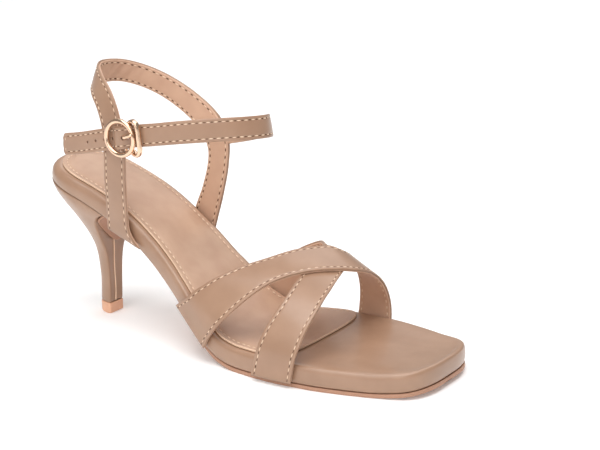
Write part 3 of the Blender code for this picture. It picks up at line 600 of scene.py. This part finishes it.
# inset and share of the thickness
for inset, depth in ((0.5, 0.0), (0.12, 0.04), (0.0, 0.16), (0.0, 0.55), (0.02, 0.8), (0.15, 0.93),
                     (0.45, 1.0), (1.2, 1.0)):
    outerSide, innerSide = [], []
    for x, z, nx, nz, share, thick, lapped in tread:
        if lapped:
            low, high = -share, share
        else:
            cut = min(max((outsole["cutFrom"] - x) / outsole["cutOver"], 0.0), 1.0)
            low, high = edgesAt(x, share, outsole["shankCut"] * cut)
        drop = shoe["gap"] + depth * thick
        outerSide.append((x + nx * drop, low + inset, z + nz * drop))
        innerSide.append((x + nx * drop, high - inset, z + nz * drop))
    nx, nz = tread[0][2:4]
    drop = shoe["gap"] + depth * shoe["tongue"]
    endX, endZ = breastLine(outsole["lapFoot"])
    tail = (endX + nx * drop, 0.0, endZ + nz * drop + inset)
    toe = (treadEnd - inset, edgesAt(treadEnd, 0.0, 0.0)[0],
           boardBottom(treadEnd) - shoe["gap"] - depth * shoe["outsole"])
    treadRings.append([tail] + outerSide + [toe] + innerSide[::-1])
treadPiece = ladderSolid("treadSheet", treadRings, 16, (outsoleTan,))
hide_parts("outsole")
print("tread made")


# straps: inner face points between two edges, then two layers swept along them
def strapForm(rear, front, outward):
    rear, front = np.array(rear), np.array(front)
    centre, across = (rear + front) / 2, front - rear
    face = unit(np.cross(np.gradient(centre, axis=0), across))
    face *= np.sign(np.einsum("ij,ij->i", face, np.array(outward)))[:, None]
    for _ in range(3):
        face[1:-1] = (face[:-2] + 2 * face[1:-1] + face[2:]) / 4
    return {"centre": centre, "across": unit(across), "face": unit(face), "run": pathRun(centre),
            "width": np.linalg.norm(across, axis=1)}


def resample(form, step):
    run = form["run"]
    want = np.linspace(0, run[-1], int(run[-1] / step) + 1)
    return {"run": want, "width": np.interp(want, run, form["width"]),
            "centre": rowAlong(form["centre"], run, want),
            "across": unit(rowAlong(form["across"], run, want)),
            "face": unit(rowAlong(form["face"], run, want))}


def strapPoint(form, u, v, h):
    at = [rowAlong(form[key], form["run"], u) for key in ("centre", "across", "face")]
    return at[0] + at[1] * v + at[2] * h


# one layer between the heights low and high; sign is 1 for the outer face, -1 for the lining
# a crease is (u, v, reach, width, depth, slant), a swell (u, v, reach u, reach v, rise)
def strapLayer(name, form, low, high, inset, sign, channel, creases, look, material):
    radius, middle = (high - low) / 2, (high + low) / 2
    edge = [(0.0, 0.0), (0.12 * radius, 0.5 * radius), (0.5 * radius, 0.86 * radius)]
    # distance from the start of the sewn channel, share of its depth
    middleAt, endAt, startRound = 1.45, 2.2, 1.4
    channelRow = [(0.35, 0.0), (0.7, 0.0), (1.0, -0.25), (1.25, -0.8), (middleAt, -1.0),
                  (1.65, -0.8), (1.9, -0.25), (endAt, 0.0)]
    rowAt = look["row"] - inset - middleAt
    corner, total = look["corner"], form["run"][-1]
    verts = []
    for i, u in enumerate(form["run"]):
        half = form["width"][i] / 2 - inset
        back = total - u
        if back < corner:
            half -= corner - sqrt(max(corner ** 2 - (corner - back) ** 2, 0.0))
        dip = 0.5 + 0.5 * cos(2 * pi * (u / look["pitch"] - 0.5))
        profile = edge + [(radius * 0.9 + (rowAt + d) * 0.55 if d < 1 else rowAt + d,
                           radius + k * channel * (0.75 + 0.25 * dip)) for d, k in channelRow]
        profile += [(half * s + (rowAt + endAt) * (1 - s),
                     radius + 0.1 * sin(s * pi / 2)) for s in (0.2, 0.45, 0.7)]
        loop = [(-half + d, h) for d, h in profile] + [(0.0, radius + 0.1)]
        loop += [(half - d, h) for d, h in reversed(profile)]
        loop += [(half - 0.12 * radius, -0.5 * radius), (half - 0.5 * radius, -0.86 * radius),
                 (half - 1.2, -radius), (0.0, -radius), (1.2 - half, -radius),
                 (0.5 * radius - half, -0.86 * radius), (0.12 * radius - half, -0.5 * radius)]
        for v, h in loop:
            lift = 0.0
            for cu, cv, reach, wide, depth, slant in creases:
                du, dv = (u - cu - slant * (v - cv)) / reach, (v - cv) / wide
                lift += depth * exp(-du * du - dv * dv)
            for su, sv, reachU, reachV, rise in look["swell"]:
                du, dv = (u - su) / reachU, (v - sv) / reachV
                lift += rise * exp(-du ** 4 - dv ** 4)
            soft = 1 - sqrt(1 - (1 - min(u / startRound, 1.0)) ** 2) if h > 0 else 0.0
            tall = middle + sign * (h + (lift if h > 0 else 0.0) - soft * radius)
            verts.append(form["centre"][i] + form["across"][i] * v + form["face"][i] * tall)
    return newPiece(name, verts, sweptFaces(len(form["run"]), len(loop)), (material,))


# threads, and dark caps of painted shade at the needle holes (the holes are real, their darkness is
# painted shade): places gathered by row, each row then made by one node tree
seamSpots = {"stitches": [], "needleHoleShade": []}


def stitchRow(form, side, tall, sign, look, holes):
    half = form["width"] / 2 - look["row"]
    path = form["centre"] + form["across"] * (side * half)[:, None] + form["face"] * tall
    run, total = pathRun(path), form["run"][-1]
    count = max(int((total - look["last"] - look["first"]) / look["pitch"]), 1)
    for k in range(2 * count + 1):
        u = (look["first"] + k * look["pitch"] / 2) / total * run[-1]
        at, ahead = rowAlong(path, run, u), rowAlong(path, run, u + 0.3)
        face = rowAlong(form["face"], run, u)
        # holes adds a dark cap of painted shade at each needle hole between the threads
        if holes or k % 2:
            spot = (at, ahead - at, face * sign)
            seamSpots["stitches" if k % 2 else "needleHoleShade"].append(spot)


def seamTree(name, sizes):
    tree = bpy.data.node_groups.new(name, "GeometryNodeTree")
    for label, way, kind in (("Geometry", "INPUT", "Geometry"),
                             *[(label, "INPUT", "Float") for label in sizes],
                             ("Seed", "INPUT", "Int"), ("Material", "INPUT", "Material"),
                             ("Geometry", "OUTPUT", "Geometry")):
        tree.interface.new_socket(label, in_out=way, socket_type="NodeSocket" + kind)
    node, link = tree.nodes.new, tree.links.new
    given, made = node("NodeGroupInput"), node("NodeGroupOutput")
    grain = addNode(tree, "GeometryNodeMeshUVSphere", Segments=8, Rings=5, Radius=0.5)
    size = node("ShaderNodeCombineXYZ")
    for axis, label in zip("XYZ", sizes):
        link(given.outputs[label], size.inputs[axis])
    shaped = node("GeometryNodeTransform")
    link(grain.outputs["Mesh"], shaped.inputs["Geometry"])
    link(size.outputs["Vector"], shaped.inputs["Scale"])
    turn = node("FunctionNodeAxesToRotation")
    turn.primary_axis, turn.secondary_axis = "Z", "X"
    for label, socket in (("face", "Primary Axis"), ("run", "Secondary Axis")):
        read = node("GeometryNodeInputNamedAttribute")
        read.data_type = "FLOAT_VECTOR"
        read.inputs["Name"].default_value = label
        link(read.outputs["Attribute"], turn.inputs[socket])
    vary = node("FunctionNodeRandomValue")
    vary.data_type = "FLOAT"
    vary.inputs[2].default_value, vary.inputs[3].default_value = 0.93, 1.06
    link(given.outputs["Seed"], vary.inputs["Seed"])
    spread = node("GeometryNodeInstanceOnPoints")
    link(given.outputs["Geometry"], spread.inputs["Points"])
    link(shaped.outputs["Geometry"], spread.inputs["Instance"])
    link(turn.outputs["Rotation"], spread.inputs["Rotation"])
    link(vary.outputs[1], spread.inputs["Scale"])
    chain = [node("GeometryNode" + kind)
             for kind in ("RealizeInstances", "SetShadeSmooth", "SetMaterial")]
    for before, after in zip([spread] + chain, chain + [made]):
        link(before.outputs[0], after.inputs["Geometry"])
    link(given.outputs["Material"], chain[-1].inputs["Material"])
    return tree


def seamPiece(name, tree, sizes, material):
    spots = seamSpots[name]
    mesh = bpy.data.meshes.new(name)
    mesh.from_pydata([tuple((at + shift) * mm) for at, _, _ in spots], [], [])
    for label, k in (("run", 1), ("face", 2)):
        rows = mesh.attributes.new(label, "FLOAT_VECTOR", "POINT")
        rows.data.foreach_set("vector", np.array([spot[k] for spot in spots]).ravel())
    piece = addObject(name, mesh)
    change = piece.modifiers.new("seam", "NODES")
    change.node_group = tree
    values = dict(sizes, Seed=4, Material=material)
    for item in tree.interface.items_tree:
        if item.in_out == "INPUT" and item.name in values:
            change[item.identifier] = values[item.name]
    keepEvaluated(piece)
    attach(piece, "root")
    print(name, len(spots), "places", len(piece.data.polygons), "faces")


strapLook = {
    "thick": shoe["strap"], "row": 1.9, "pitch": 3.7, "first": 1.6, "last": 1.6, "corner": 0.0,
    "step": 0.92, "creases": (), "innerCreases": (), "swell": (), "liningHoles": False,
}


def strapPieces(name, form, **changes):
    look = dict(strapLook, **changes)
    fine, thick = resample(form, look["step"]), look["thick"]
    split = thick * 0.44
    outer = strapLayer(name + "Outer", fine, split, thick, 0.0, 1.0, 0.17, look["creases"], look,
                       strapLeather)
    inner = strapLayer(name + "Lining", fine, 0.02, split + 0.03, 0.3, -1.0, 0.1,
                       look["innerCreases"], look, liningLeather)
    for side in (-1, 1):
        stitchRow(fine, side, thick - 0.17, 1.0, look, True)
        stitchRow(fine, side, 0.02, -1.0, look, look["liningHoles"])
    return outer, inner, fine


# share of the girth from the outer side, then rear and front edge as shares of the length
overTable = (
    (0.0, 0.424, 0.515), (0.11, 0.459, 0.538), (0.2, 0.49, 0.578), (0.3, 0.54, 0.632),
    (0.4, 0.612, 0.695), (0.5, 0.668, 0.738), (0.6, 0.69, 0.756), (0.75, 0.69, 0.762),
    (0.9, 0.682, 0.762), (1.0, 0.675, 0.757),
)
underTable = (
    (0.0, 0.65, 0.745), (0.11, 0.661, 0.752), (0.2, 0.675, 0.761), (0.3, 0.687, 0.764),
    (0.4, 0.68, 0.757), (0.5, 0.653, 0.738), (0.6, 0.612, 0.704), (0.7, 0.556, 0.65),
    (0.8, 0.503, 0.592), (0.9, 0.464, 0.549), (1.0, 0.434, 0.52),
)
# share of the length, height over the board, place of the highest point
instepTable = (
    (0.42, 0.72, 0.2), (0.5, 0.94, 0.22), (0.56, 1.0, 0.24), (0.625, 0.975, 0.24),
    (0.667, 0.925, 0.2), (0.708, 0.84, 0.11), (0.75, 0.74, 0.03), (0.8, 0.62, 0.0),
)
# leg is the share of the girth beside the board, cross the middle of the crossing
toes = {"leg": 0.11, "aboveBottom": 0.3, "aboveBoard": 1.0, "cross": 0.5, "crossReach": 0.23}


def instep(x, girth, lift, bow):
    outer, inner = sideWidths(x)
    outer, inner = outer + bow[0], inner + bow[1]
    rise, apex = rowsAt(instepTable, x / shoe["length"])
    wall, leg = shoe["gap"] + shoe["bulge"] + lift, toes["leg"]
    low, shoulder = boardBottom(x) + toes["aboveBottom"], boardTop(x) + toes["aboveBoard"]
    crown, apex = shoulder + rise * shoe["rise"], apex * shoe["ball"]
    if girth < leg:
        return np.array((x, -outer - wall, low + girth / leg * (shoulder - low)))
    if girth > 1 - leg:
        return np.array((x, inner + wall, low + (1 - girth) / leg * (shoulder - low)))
    turn = (girth - leg) / (1 - 2 * leg) * pi
    c, s = cos(turn), sin(turn)
    reach = outer + wall + apex if c > 0 else inner + wall - apex
    return np.array((x, apex - c * reach, shoulder + s * (crown + lift - shoulder)))


def toeStrap(table, raised):
    rear, front, outward = [], [], []
    for girth in np.linspace(0, 1, 161):
        shares = rowsAt(table, girth)
        back, fore = shares * shoe["length"]
        lift = 0.0
        if raised:
            off = (girth - toes["cross"]) / toes["crossReach"]
            lift = (shoe["strap"] + 0.05) / (1 + off ** 6)
        # both edges stand as far out as the board does midway between them
        ends = [sideWidths(x) for x in (back, fore)]
        mid = sideWidths((shares[0] + shares[1]) / 2 * shoe["length"])
        bow = [max(mid[k] - (ends[0][k] + ends[1][k]) / 2, 0.0) for k in (0, 1)]
        a, b = instep(back, girth, lift, bow), instep(fore, girth, lift, bow)
        rear.append(a)
        front.append(b)
        x = (a[0] + b[0]) / 2
        outward.append((a + b) / 2 - np.array((x, 0.0, boardTop(x) - 4)))
    return strapForm(rear, front, outward)


overForm = toeStrap(overTable, True)
overLength = overForm["run"][-1]
overOuter = strapPieces("overStrap", overForm, creases=(
    (5.0, 2.0, 3.0, 9.0, -0.18, 0.2), (overLength - 8.0, 0.0, 3.0, 8.0, -0.15, -0.2),
    (overLength * 0.46, 3.0, 10.0, 8.0, 0.16, 0.0)))[0]
underForm = toeStrap(underTable, False)
underOuter = strapPieces("underStrap", underForm, creases=(
    (6.0, -3.0, 3.0, 8.0, -0.15, 0.2),
    (underForm["run"][-1] * 0.2, 2.0, 7.0, 7.0, 0.12, 0.0)))[0]
for piece in (overOuter, underOuter):
    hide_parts("vamp_straps")
print("toe straps made")

# rear edge's then front edge's x, y, z as shares of the length, ankle and loop
backRows = (
    (0.2235, -0.4235, 0.4, 0.312, -0.445, 0.348),
    (0.224, -0.427, 0.425, 0.2995, -0.465, 0.378),
    (0.225, -0.433, 0.465, 0.2885, -0.47, 0.421),
    (0.227, -0.45, 0.53, 0.287, -0.471, 0.505),
    (0.229, -0.47, 0.6, 0.289, -0.484, 0.6), (0.231, -0.474, 0.7, 0.29, -0.486, 0.705),
    (0.229, -0.466, 0.775, 0.279, -0.47, 0.82), (0.211, -0.43, 0.845, 0.249, -0.42, 0.915),
    (0.178, -0.34, 0.89, 0.204, -0.318, 0.968), (0.148, -0.18, 0.905, 0.165, -0.17, 0.993),
    (0.138, 0.01, 0.903, 0.148, 0.01, 0.993), (0.148, 0.2, 0.892, 0.16, 0.195, 0.98),
    (0.18, 0.35, 0.862, 0.194, 0.345, 0.95), (0.226, 0.425, 0.82, 0.24, 0.425, 0.912),
    (0.278, 0.455, 0.762, 0.298, 0.462, 0.858), (0.312, 0.46, 0.708, 0.352, 0.47, 0.79),
    (0.328, 0.458, 0.65, 0.382, 0.465, 0.7), (0.327, 0.45, 0.585, 0.383, 0.45, 0.6),
    (0.314, 0.44, 0.5, 0.371, 0.438, 0.49), (0.297, 0.431, 0.425, 0.353, 0.428, 0.375),
    (0.284, 0.4265, 0.352, 0.338, 0.4235, 0.285),
)
backRows = np.array(backRows) * np.array((shoe["length"], shoe["ankle"], shoe["loop"]) * 2)
# both lower ends are drawn against the board's side
for order, side in ((1, -1), (-1, 1)):
    for part in (0, 3):
        end = backRows[::order][0]
        width = sideWidths(end[part])[0 if side < 0 else 1]
        delta = side * (width + shoe["bulge"] + shoe["gap"]) - end[part + 1]
        for row, weight in zip(backRows[::order], (1.0, 0.9, 0.6, 0.25)):
            row[part + 1] += weight * delta
# the straps face away from the leg's axis, whose x differs a little for each
legX = {"back": 70.0, "ankle": 85.0}
backPath = smoothPath(backRows, 400)
backOut = (backPath[:, :3] + backPath[:, 3:]) / 2 - np.array((legX["back"], 0.0, 0.0))
backOut[:, 2] = 0.0
backForm = strapForm(backPath[:, :3], backPath[:, 3:], backOut)
backLength = backForm["run"][-1]
joinAt = float(backForm["run"][np.argmin(np.linalg.norm(
    backForm["centre"] - np.array((0.345 * shoe["length"], 0.46 * shoe["ankle"], 99.0)), axis=1))])
backOuter = strapPieces(
    "backStrap", backForm, row=1.8, liningHoles=True, swell=((joinAt, 3.5, 6.2, 5.5, 0.55),),
    creases=((8.0, 2.0, 2.5, 6.0, -0.2, 0.3), (52.0, 0.0, 4.0, 6.0, -0.14, 0.4),
             (60.0, -2.0, 3.0, 5.0, -0.1, 0.3), (backLength - 9.0, 0.0, 3.0, 6.0, -0.15, 0.2)),
    innerCreases=((70.0, 1.0, 2.5, 5.0, -0.18, 0.3), (78.0, -1.0, 2.5, 5.0, -0.15, -0.2),
                  (103.0, 1.0, 1.6, 4.5, -0.3, 0.5), (112.5, 1.0, 1.5, 4.5, -0.42, 0.6),
                  (115.2, 0.5, 1.4, 4.0, 0.2, 0.6), (118.0, 0.0, 1.5, 5.0, -0.46, 0.6),
                  (121.0, 0.0, 1.5, 4.5, 0.18, 0.6), (124.0, -1.0, 1.5, 4.5, -0.4, 0.6),
                  (131.0, 1.0, 1.8, 4.5, -0.3, 0.4), (143.0, 0.0, 2.2, 4.5, -0.22, 0.3)))[0]

buckleTilt = radians(6.0)
buckleCentre = np.array((0.2965 * shoe["length"], -0.595 * shoe["ankle"], 0.777 * shoe["loop"]))
barDrop = 3.9
# the strap's rise over the bar, and where it starts and ends
overBar = {"rise": 2.2, "flat": 1.2, "slope": 5.4}
ankleSeam = 1.75


# e1 forward along the strap, e2 outward, e3 up
def bucklePoint(e1, e2, e3):
    forward = np.array((cos(buckleTilt), 0.0, sin(buckleTilt)))
    up = np.array((-sin(buckleTilt), 0.0, cos(buckleTilt)))
    return buckleCentre + forward * e1 + np.array((0.0, -1.0, 0.0)) * e2 + up * e3


# x, y, z of the middle as shares of the length, ankle and loop, then the lean in degrees
ankleRows = (
    (0.352, 0.462, 0.712, 0.0), (0.385, 0.467, 0.722, 0.0), (0.432, 0.452, 0.744, 2.0),
    (0.485, 0.37, 0.775, 5.0), (0.532, 0.225, 0.806, 9.0), (0.559, 0.02, 0.826, 11.0),
    (0.544, -0.17, 0.833, 9.0), (0.502, -0.345, 0.833, 6.0), (0.435, -0.466, 0.82, 2.0),
    (0.38, -0.512, 0.804, 0.0), (0.345, -0.531, 0.794, 0.0), (0.2965, -0.531, 0.777, 0.0),
    (0.228, -0.526, 0.749, 0.0), (0.175, -0.51, 0.726, 0.0), (0.124, -0.494, 0.708, 0.0),
)
ankleRows = np.array(ankleRows) * (shoe["length"], shoe["ankle"], shoe["loop"], 1.0)
anklePath = smoothPath(ankleRows, 500)
off = np.hypot(anklePath[:, 0] - buckleCentre[0], anklePath[:, 2] - buckleCentre[2])
reach = np.clip((off - overBar["flat"]) / overBar["slope"], 0, 1)
rise = overBar["rise"] * np.cos(reach * pi / 2) ** 2
anklePath[:, 1] -= np.where(anklePath[:, 1] < 0, rise, 0)
ankleRear, ankleFront, ankleOut = [], [], []
for x, y, z, lean in anklePath:
    out = unit(np.array((x - legX["ankle"], y, 0.0)))
    tilt = radians(lean)
    up = np.array((0.0, 0.0, cos(tilt))) - out * sin(tilt)
    at = np.array((x, y, z))
    ankleRear.append(at - up * shoe["ankleStrap"] / 2)
    ankleFront.append(at + up * shoe["ankleStrap"] / 2)
    ankleOut.append(out)
ankleForm = strapForm(ankleRear, ankleFront, ankleOut)
ankleLength = ankleForm["run"][-1]
ankleOuter, ankleInner, ankleFine = strapPieces(
    "ankleStrap", ankleForm, thick=shoe["buckled"], row=ankleSeam, first=7.0, corner=1.8,
    step=0.8,
    creases=((ankleLength * 0.34, 0.0, 4.0, 6.0, -0.12, 0.2),
             (ankleLength * 0.42, 1.0, 3.0, 6.0, -0.1, -0.2)))
for piece in (backOuter, ankleOuter):
    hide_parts("ankle_straps")
print("ankle straps made")

# stitches across the strap's tail, then along the sock's rim
tailHalf = shoe["ankleStrap"] / 2 - ankleSeam - 1.4
for v in np.linspace(-tailHalf, tailHalf, 3):
    at = strapPoint(ankleFine, ankleLength - 1.7, v, 1.63)
    seamSpots["stitches"].append((at, ankleFine["across"][-1], ankleFine["face"][-1]))
sockRow = shrink(sockOutline, sock["stitchInset"])
sockTall = shoe["gap"] + (1 - sock["stitchSink"]) * shoe["sock"]
sockRow = np.array([(x, y, boardTop(x) + sockTall) for x, y in sockRow])
sockRow = np.vstack([sockRow, sockRow[:1]])
sockRun = pathRun(sockRow)
sockCount = int(sockRun[-1] / sock["stitchPitch"])
for k in range(sockCount):
    at, ahead = [rowAlong(sockRow, sockRun, share * sockRun[-1] / sockCount)
                 for share in (k, k + 0.1)]
    face = np.array((-boardSlope(at[0]), 0.0, 1.0))
    if at[0] < sock["front"] - sock["plainFront"]:
        seamSpots["stitches"].append((at + (0, 0, 0.12), ahead - at, face))
threadSize = {"Length": 2.1 * mm, "Width": 0.58 * mm, "Height": 0.58 * mm}
# the needle holes' shade is painted: flat dark caps sunk into the leather, not cut holes
holeShadeSize = {"Length": 1.6 * mm, "Width": 0.74 * mm, "Height": 0.22 * mm}
seams = seamTree("seam", threadSize)
seamPiece("stitches", seams, threadSize, threadCream)
seamPiece("needleHoleShade", seams, holeShadeSize, needleShade)

# buckle: ring, centre bar and keeper loop in one casting, then the prong round the bar
ring = {"width": 19.9, "wire": 2.5}
ringRadius = (ring["width"] - ring["wire"]) / 2
ringRows = [bucklePoint(ringRadius * cos(a), 0.0, ringRadius * sin(a))
            for a in np.linspace(0, 2 * pi, 96, endpoint=False)]
ringPiece = tube("buckleRing", ringRows, ring["wire"] / 2, 24, True, roseGold)
barHalf = [(0.2, ringRadius), (-barDrop * 0.45, ringRadius - 0.1),
           (-barDrop * 0.85, ringRadius - 0.6), (-barDrop, ringRadius - 1.6), (-barDrop, 3.0)]
barRows = barHalf + [(-barDrop, 0.0)] + [(e2, -e3) for e2, e3 in barHalf[::-1]]
barPiece = tube("buckleBar", [bucklePoint(0.0, e2, e3) for e2, e3 in smoothPath(barRows, 60)],
                0.9, 16, False, roseGold)
keeper = {"reach": 12.4, "half": 8.6, "deep": 1.4, "proud": 0.2, "armDeeper": 0.6, "armSunk": 1.9}
keeperStart = radians(50)
keeperHalf = [(ringRadius * cos(keeperStart), ringRadius * sin(keeperStart))]
for ahead, aside in ((0.58, 0.96), (0.76, 1.0), (0.92, 0.92), (0.99, 0.68), (1.0, 0.25)):
    keeperHalf.append((keeper["reach"] * ahead, keeper["half"] * aside))
keeperRows = keeperHalf + [(e1, -e3) for e1, e3 in keeperHalf[::-1]]
keeperPath, keeperFlat = [], []
for e1, e3 in smoothPath(keeperRows, 90):
    onArm = 1 - ease(e1, 7.5, 10.5)
    keeperPath.append(bucklePoint(e1, keeper["proud"] - keeper["armSunk"] * onArm, e3))
    keeperFlat.append(keeper["deep"] + keeper["armDeeper"] * onArm)
keeperPiece = tube("buckleKeeper", keeperPath, 1.0, 18, False, roseGold, keeperFlat)
prong = {"turn": 1.9, "radius": 1.1, "tipRadius": 0.6, "riseAtBar": 0.7, "riseAtRing": 1.6}
prongRows = [(prong["turn"] * cos(a), prong["turn"] * sin(a) - barDrop)
             for a in np.radians((190, 215, 240, 270, 300, 330, 355))]
prongRows += [(2.2, -1.6), (3.1, 0.1), (4.1, 1.4), (5.6, 2.2), (7.4, 2.6), (9.0, 2.7), (10.1, 2.4)]
prongPath = [bucklePoint(e1, e2, prong["riseAtBar"] * ease(e1, 0.0, 3.0)
                         + prong["riseAtRing"] * ease(e1, 3.0, 10.5))
             for e1, e2 in smoothPath(prongRows, 70)]
prongSize = [prong["radius"]] * 60 + list(np.linspace(prong["radius"], prong["tipRadius"], 10))
prongPiece = tube("prong", prongPath, prongSize, 16, False, roseGold)
for piece in (ringPiece, barPiece, keeperPiece):
    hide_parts("buckle_frame")
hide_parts("buckle_prong")

# leather loops round the bar, sewn to the back strap
barTurn = 1.6
loopSides = ((-7.4, -barDrop - 1.25), (-5.0, -barDrop - 1.2), (-2.6, -barDrop - 1.35))
loopBack = ((-2.4, -barDrop + 0.15), (-5.0, -barDrop - 0.45), (-7.4, -barDrop - 0.5))
loopRows = [*loopSides, *[(barTurn * cos(a), barTurn * sin(a) - barDrop)
                          for a in np.radians(range(-110, 160, 24))], *loopBack]
loopPath = smoothPath(loopRows, 60)
for index, (near, far) in enumerate(((1.7, 5.0), (-5.0, -1.7))):
    verts = []
    for (e1, e2), (s1, s2) in zip(loopPath, unit(np.gradient(loopPath, axis=0))):
        for e3, k in ((near, -0.35), (near + 0.15, -0.4), (far - 0.15, -0.4), (far, -0.35),
                      (far, 0.3), (far - 0.2, 0.4), (near + 0.2, 0.4), (near, 0.3)):
            verts.append(bucklePoint(e1 + s2 * k, e2 - s1 * k, e3))
    loopPiece = newPiece("buckleLoop" + str(index), verts, sweptFaces(len(loopPath), 8),
                         (boardLeather,))
print("buckle made")


# punched holes in the strap's tail and the slot that the prong comes through
def punch(piece, u, radius, long):
    sides = 20
    centre = strapPoint(ankleFine, u, 0.0, 0.9)
    ahead, behind = [strapPoint(ankleFine, u + step, 0.0, 0.9) for step in (0.5, -0.5)]
    along = unit(ahead - behind)
    face = rowAlong(ankleFine["face"], ankleFine["run"], u)
    side = np.cross(face, along)
    verts = []
    for tall in (-2.2, 2.2):
        for k in range(sides):
            a = 2 * pi * k / sides
            verts.append(centre + face * tall + side * radius * sin(a)
                         + along * (radius * cos(a) + copysign(long, cos(a))))
    cutter = newPiece("cutter", verts, sweptFaces(2, sides), (needleShade,))
    change = piece.modifiers.new("punch", "BOOLEAN")
    change.operation = "DIFFERENCE"
    change.solver = "EXACT"
    change.object = cutter
    keepEvaluated(piece)
    bpy.data.objects.remove(cutter)


holes = {"slot": 1.0, "slotRadius": 1.0, "slotHalf": 1.2, "first": 10.3, "apart": 6.0,
         "radius": 0.75}
prongU = ankleFine["run"][np.argmin(np.linalg.norm(
    ankleFine["centre"] - bucklePoint(2.9, -3.0, 0.0), axis=1))]
for piece in (ankleOuter, ankleInner):
    punch(piece, prongU + holes["slot"], holes["slotRadius"], holes["slotHalf"])
    for k in range(4):
        punch(piece, prongU + holes["first"] + holes["apart"] * k, holes["radius"], 0.0)
print("holes punched")

# camera at the photograph's angle
view = {"angles": (34.3, 16.9, -0.57), "target": (155.5, 0.0, 67.0), "distance": 841.0,
        "lens": 102.3}
azimuth, elevation, roll = np.radians(view["angles"])
backward = np.array((sin(azimuth) * cos(elevation), -cos(azimuth) * cos(elevation), sin(elevation)))
level = np.array((cos(azimuth), sin(azimuth), 0.0))
raised = np.cross(backward, level)
rightward = level * cos(roll) + raised * sin(roll)
upward = -level * sin(roll) + raised * cos(roll)
place = (np.array(view["target"]) + backward * view["distance"] + shift) * mm
camera = addObject("camera", bpy.data.cameras.new("camera"))
camera.matrix_world = Matrix([[rightward[k], upward[k], backward[k], place[k]] for k in range(3)]
                             + [[0, 0, 0, 1]])
camera.data.sensor_fit = "HORIZONTAL"
camera.data.sensor_width = 36.0
camera.data.lens = view["lens"]
camera.data.clip_start, camera.data.clip_end = 0.05, 20.0
bpy.context.scene.camera = camera

# floor and soft studio light; the floor's slight glow keeps it as white as in the photo
floorMaterial, _, floorShader = newMaterial("floor")
setInputs(floorShader, Base_Color=(0.94, 0.94, 0.94, 1), Roughness=0.8,
          Emission_Color=(1.0, 1.0, 1.0, 1), Emission_Strength=0.12)
floorMesh = bpy.data.meshes.new("floor")
floorMesh.from_pydata([(-6, -6, 0), (6, -6, 0), (6, 6, 0), (-6, 6, 0)], [], [(0, 1, 2, 3)])
floorMesh.materials.append(floorMaterial)
floor = addObject("floor", floorMesh)
world = bpy.data.worlds.new("studio")
world.use_nodes = True
setInputs(world.node_tree.nodes["Background"], Color=(1.0, 1.0, 1.0, 1), Strength=0.3)
bpy.context.scene.world = world
bpy.context.scene.view_settings.view_transform = "Standard"


def areaLight(name, place, aim, size, power):
    lamp = bpy.data.lights.new(name, "AREA")
    lamp.shape = "RECTANGLE"
    lamp.size, lamp.size_y = size
    lamp.energy = power
    body = addObject(name, lamp)
    body.location = place
    body.rotation_mode = "QUATERNION"
    body.rotation_quaternion = (Vector(aim) - Vector(place)).to_track_quat("-Z", "Y")


areaLight("key", (0.25, -1.15, 0.8), (0.0, 0.0, 0.05), (1.5, 1.1), 9.8)
areaLight("top", (0.1, -0.2, 1.4), (0.0, 0.0, 0.02), (1.4, 1.0), 18.0)
areaLight("behind", (-0.5, 1.5, 1.5), (-0.5, 1.1, 0.0), (2.4, 1.4), 15.0)
print("stage made")
